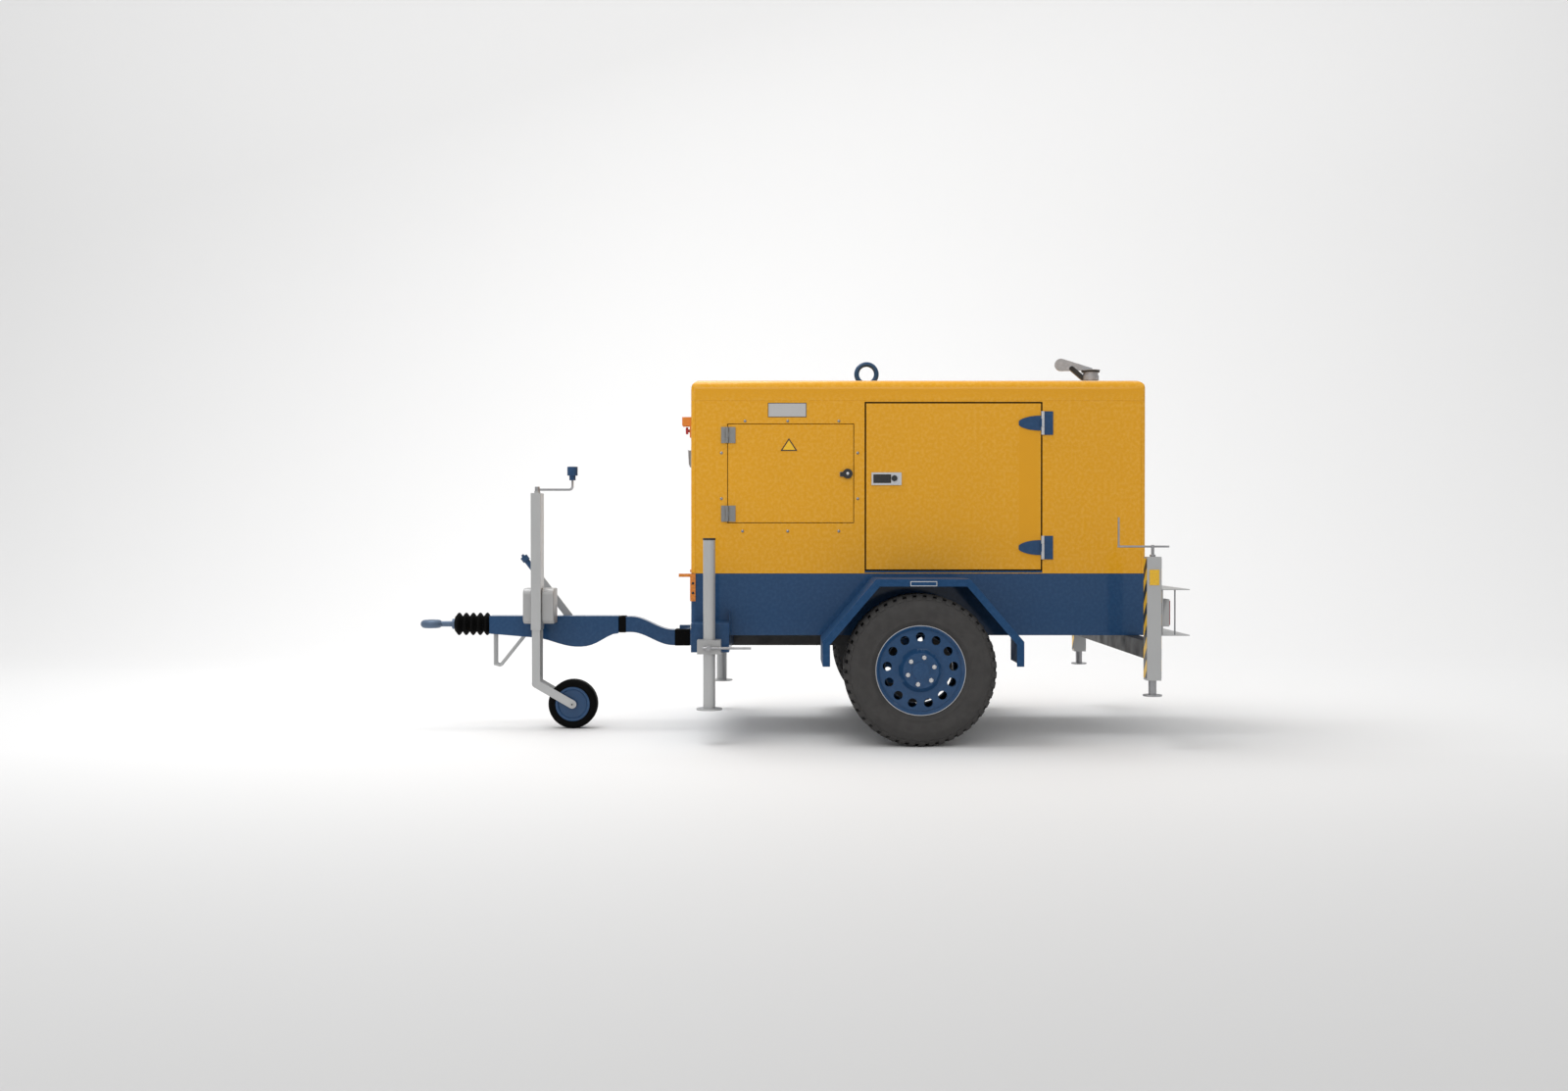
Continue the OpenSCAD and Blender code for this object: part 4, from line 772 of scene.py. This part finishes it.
plates = {  # low corner, high corner, finish, edge and slot
    "labelEdge": ((-0.132, -0.5012, 1.631), (0.065, -0.4999, 1.704), "black_plastic", 0.0003,
                  "black_plastic"),
    "blankLabel": ((-0.129, -0.5018, 1.634), (0.062, -0.5005, 1.701), "blank_plate", 0.0004, "steel"),
}
for name, (low, high, finish, width, slot) in plates.items():
    boxPiece(name, low, high, finish, "chassis", width, slot)


def sidePlate(name, way, sizes, finish, width, slot):
    # a thin plate on one side, from its spans in x and z and its distances from the middle plane
    y = sorted(way * reach for reach in sizes["y"])
    low, high = zip(sizes["x"], y, sizes["z"])
    boxPiece(name, low, high, finish, "chassis", width, slot)


sill = {"x": (0.362, 1.270), "y": (0.4990, 0.5012), "z": (0.8368, 0.8460)}
marker = {"x": (0.5645, 0.6865), "y": (0.9284 - 0.001, 0.9284), "z": (0.7855, 0.8025)}
for side, way in sides.items():
    sidePlate("doorSill_" + side, way, sill, "blue_paint", 0.0004, "blue_paint")
for side, way in sides.items():
    sidePlate("markerLens_" + side, way, marker, "fender_paint", 0.0002, "amber_plastic")

screws = {
    "panelY": -0.5008, "panelHead": 0.0048,
    "panel": [(-0.249, 1.611), (-0.031, 1.611), (0.230, 1.611), (-0.262, 1.049), (-0.031, 1.049),
              (0.230, 1.049), (-0.3695, 1.4485), (-0.3695, 1.215), (0.3266, 1.4485), (0.3266, 1.215)],
    "lampX": -0.515, "lampY": 0.5085, "lampZ": (0.733, 0.783), "lampHead": 0.0045,
}
panelPoints = [(x, screws["panelY"], z) for x, z in screws["panel"]]
screwsAt("panelScrews", panelPoints, (0, -1, 0), "steel", "chassis", screws["panelHead"])
for side, way in sides.items():
    lampPoints = [(screws["lampX"], way * screws["lampY"], z) for z in screws["lampZ"]]
    screwsAt("lampScrews_" + side, lampPoints, (0, way, 0), "black_steel", "chassis", screws["lampHead"])
print("outlines, plates and screws made")

lock = {"inner": -0.5138, "outer": -0.5168, "radius": 0.0075, "edge": 0.0012}
bm = bmesh.new()
lockAt = jointAt["panel_lock_turn"]
rodShape(bm, (lockAt.x, lock["inner"], lockAt.z), (lockAt.x, lock["outer"], lockAt.z), lock["radius"], 32)
roundEdges(bm, lock["edge"])
place(meshObject("lockCylinder", bm, "chrome"), bodyOf["panel_lock"], "steel")

axleMark = {"sunk": 0.002, "proud": 0.0008, "radius": 0.0048}
axle = jointAt["jockey_wheel_spin"]
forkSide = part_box("jockey_leg")[0].y
bm = bmesh.new()
rodShape(bm, (axle.x, forkSide + axleMark["sunk"], axle.z), (axle.x, forkSide - axleMark["proud"], axle.z),
         axleMark["radius"], 24)
place(meshObject("jockeyAxleMark", bm, "black_steel"), bodyOf["jockey_leg"], "black_steel")

bands = {  # from x, to x and centre height
    "join": (-0.9455, -0.903, 0.546),
    "boot": (-0.643, -0.556, 0.475),
}
bandHalf = {"y": 0.0465, "z": 0.0445, "edge": 0.007}
for name, (x0, x1, z) in bands.items():
    bm = bmesh.new()
    boxShape(bm, (x0, -bandHalf["y"], z - bandHalf["z"]), (x1, bandHalf["y"], z + bandHalf["z"]))
    roundEdges(bm, bandHalf["edge"], 3)
    band = meshObject("drawbarBand_" + name, bm, "black_rubber")
    settleNormals(band)
    place(band, "chassis", "black_rubber")

# a black plastic cap on each front leg top; partly a real cap, its dark colour also paints the shade round the leg
# top
legCapShade = {"drop": 0.008, "rise": 0.0025, "radius": 0.0318, "edge": 0.0018}
for side in sides:
    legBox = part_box("front_leg_" + side)
    middle = (legBox[0] + legBox[1]) / 2
    top = legBox[1].z
    bm = bmesh.new()
    rodShape(bm, (middle.x, middle.y, top - legCapShade["drop"]), (middle.x, middle.y, top + legCapShade["rise"]),
             legCapShade["radius"], 48)
    roundEdges(bm, legCapShade["edge"])
    place(meshObject("legCapShade_" + side, bm, "black_plastic"), bodyOf["front_leg_" + side], "black_plastic")
print("locks, bands and caps made")

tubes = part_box("rear_leg_tubes")
boards = {"thick": 0.0015, "z": (0.338, 0.915), "y": (0.889, 0.951)}
reflector = {"x": (1.7087, 1.756), "z": (0.788, 0.863), "y": (tubes[1].y, tubes[1].y + 0.003)}
rearLamps = {"x": (1.9265, 1.9325), "z": (0.567, 0.693),
             "row": (("red", 0.402, 0.470, "red_lens"), ("amber", 0.340, 0.398, "amber_plastic"),
                     ("clear", 0.276, 0.336, "clear_lens"))}
for side, way in sides.items():
    for name, x in (("front", tubes[0].x - boards["thick"]), ("back", tubes[1].x)):
        board = {**boards, "x": (x, x + boards["thick"])}
        sidePlate(f"warningBoard_{name}_{side}", way, board, "hazard", 0.0003, "yellow_paint")
    sidePlate("reflector_" + side, way, reflector, "yellow_reflector", 0.0006, "amber_plastic")
    for name, y0, y1, finish in rearLamps["row"]:
        sidePlate(f"rearLamp_{name}_{side}", way, {**rearLamps, "y": (y0, y1)}, finish, 0.002, "red_plastic")
print("warning boards and lamps made")


def makePipeTree():
    # a round pipe along the object's edges
    tree, start, end = startTree("pipeAlong", [("Radius", "Float", 0.02), ("Material", "Material", None)])
    curve = tree.nodes.new("GeometryNodeMeshToCurve")
    circle = addNode(tree, "GeometryNodeCurvePrimitiveCircle", Resolution=20)
    tube = tree.nodes.new("GeometryNodeCurveToMesh")
    smooth = tree.nodes.new("GeometryNodeSetShadeSmooth")
    link(tree, start.outputs["Geometry"], curve.inputs[0])
    link(tree, start.outputs["Radius"], circle.inputs["Radius"])
    link(tree, curve.outputs[0], tube.inputs["Curve"])
    link(tree, circle.outputs[0], tube.inputs["Profile Curve"])
    tube.inputs["Fill Caps"].default_value = True
    link(tree, tube.outputs[0], smooth.inputs["Geometry"])
    endTree(tree, start, end, smooth.outputs[0])
    return tree


trees["pipe"] = makePipeTree()


def pipePiece(name, points, radius, material, body, slot, steps=10):
    points = [Vector(p) for p in points]
    ends = [2 * points[0] - points[1]] + points + [2 * points[-1] - points[-2]]
    bm = bmesh.new()
    line = []
    for a, b, c, d in zip(ends, ends[1:], ends[2:], ends[3:]):
        for i in range(steps):
            t = i / steps
            line.append(0.5 * (2 * b + (c - a) * t + (2 * a - 5 * b + 4 * c - d) * t ** 2
                               + (3 * b - a - 3 * c + d) * t ** 3))
    verts = [bm.verts.new(p) for p in line + [points[-1]]]
    for first, second in zip(verts, verts[1:]):
        bm.edges.new((first, second))
    obj = meshObject(name, bm, material)
    runTree(obj, "pipe", Radius=radius, Material=finishes[material])
    return place(obj, body, slot)


pipes = {  # points along the run, radius and finish
    "topHose": ([(1.06, 0.06, 1.24), (1.12, 0.06, 1.262), (1.17, 0.06, 1.35), (1.21, 0.06, 1.45),
                 (1.272, 0.06, 1.49)], 0.020, "black_rubber"),
    "lowerHose": ([(1.04, -0.15, 0.95), (1.07, -0.23, 0.93), (1.16, -0.28, 0.91), (1.272, -0.27, 0.90)],
                  0.020, "black_rubber"),
    "exhaustPipe": ([(0.92, 0.155, 1.245), (0.98, 0.20, 1.38), (1.15, 0.22, 1.66), (1.42, 0.22, 1.665),
                     (1.56, 0.20, 1.57)], 0.024, "steel"),
    "intakeHose": ([(0.94, -0.20, 1.42), (1.01, -0.20, 1.40), (1.03, -0.13, 1.31), (1.02, -0.09, 1.25)],
                   0.028, "black_rubber"),
    "powerLoom": ([(0.0, -0.222, 1.25), (0.03, -0.14, 1.20), (0.12, -0.06, 1.22), (0.20, -0.04, 1.25)],
                  0.014, "black_plastic"),
    "redLead": ([(-0.33, 0.21, 1.0), (-0.24, 0.20, 1.04), (-0.05, 0.22, 0.95), (0.12, 0.20, 0.88)],
                0.006, "red_plastic"),
    "blackLead": ([(-0.33, 0.41, 1.0), (-0.22, 0.38, 1.03), (0.0, 0.30, 0.90), (0.12, 0.27, 0.85)],
                  0.006, "black_plastic"),
}
for name, (points, radius, finish) in pipes.items():
    pipePiece(name, points, radius, finish, "chassis", finish)

cover = {"start": 0.14, "pitch": 0.088, "bolts": 5, "halfWidth": 0.075, "top": 1.3508, "head": 0.008}
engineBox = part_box("engine")
coverBolts = [(engineBox[0].x + cover["start"] + cover["pitch"] * i, way * cover["halfWidth"], cover["top"])
              for i in range(cover["bolts"]) for way in (-1, 1)]
screwsAt("coverBolts", coverBolts, (0, 0, 1), "steel", "chassis", cover["head"])

dials = {
    "x": (-0.220, -0.090, 0.040), "z": 1.480, "face": -0.422,
    "rim": [(0.0395, 0), (0.0425, 0), (0.0425, 0.005), (0.0410, 0.006), (0.0395, 0.005)],
    "turns": (-40, 15, 60), "pivotDrop": 0.012, "needleProud": 0.002, "needle": 0.03, "needleRadius": 0.0012,
}
for i, (x, turn) in enumerate(zip(dials["x"], dials["turns"])):
    lathePiece(f"dialRim{i}", dials["rim"], (x, dials["face"], dials["z"]), (0, -1, 0), "chrome", "chassis",
               "steel", steps=40)
    angle = math.radians(turn)
    pivot = Vector((x, dials["face"] - dials["needleProud"], dials["z"] - dials["pivotDrop"]))
    tip = pivot + Vector((dials["needle"] * math.sin(angle), 0, dials["needle"] * math.cos(angle)))
    bm = bmesh.new()
    rodShape(bm, pivot, tip, dials["needleRadius"], 8)
    place(meshObject(f"dialNeedle{i}", bm, "red_plastic"), "chassis", "red_plastic")

breakers = {
    "count": 4, "x": 0.134, "pitch": 0.027, "edge": 0.001,
    "body": ((0.0, -0.4215, 1.42), (0.021, -0.4155, 1.47)),
    "lever": ((0.006, -0.4285, 1.448), (0.015, -0.4205, 1.460)),
}
breakerParts = (("breaker", "body", "grey_plastic"), ("breakerLever", "lever", "black_plastic"))
for i in range(breakers["count"]):
    step = Vector((breakers["x"] + breakers["pitch"] * i, 0, 0))
    for name, key, finish in breakerParts:
        low, high = (step + Vector(corner) for corner in breakers[key])
        boxPiece(f"{name}{i}", low, high, finish, "chassis", breakers["edge"], finish)

foam = {"inset": 0.045, "y": (0.4528, 0.4697), "edge": 0.006,
        "roof": ((-0.50, -0.44, 1.792), (1.50, 0.44, 1.8165))}
for side, way in sides.items():
    ys = sorted(way * reach for reach in foam["y"])
    low, high = rectLine(doorway["low"], doorway["high"], foam["inset"])[::2]
    boxPiece("doorFoam_" + side, (low[0], ys[0], low[1]), (high[0], ys[1], high[1]), "foam",
             bodyOf["door_" + side], foam["edge"], "black_rubber")
boxPiece("roofFoam", *foam["roof"], "foam", "chassis", foam["edge"], "black_rubber")
print("engine bay dressed")
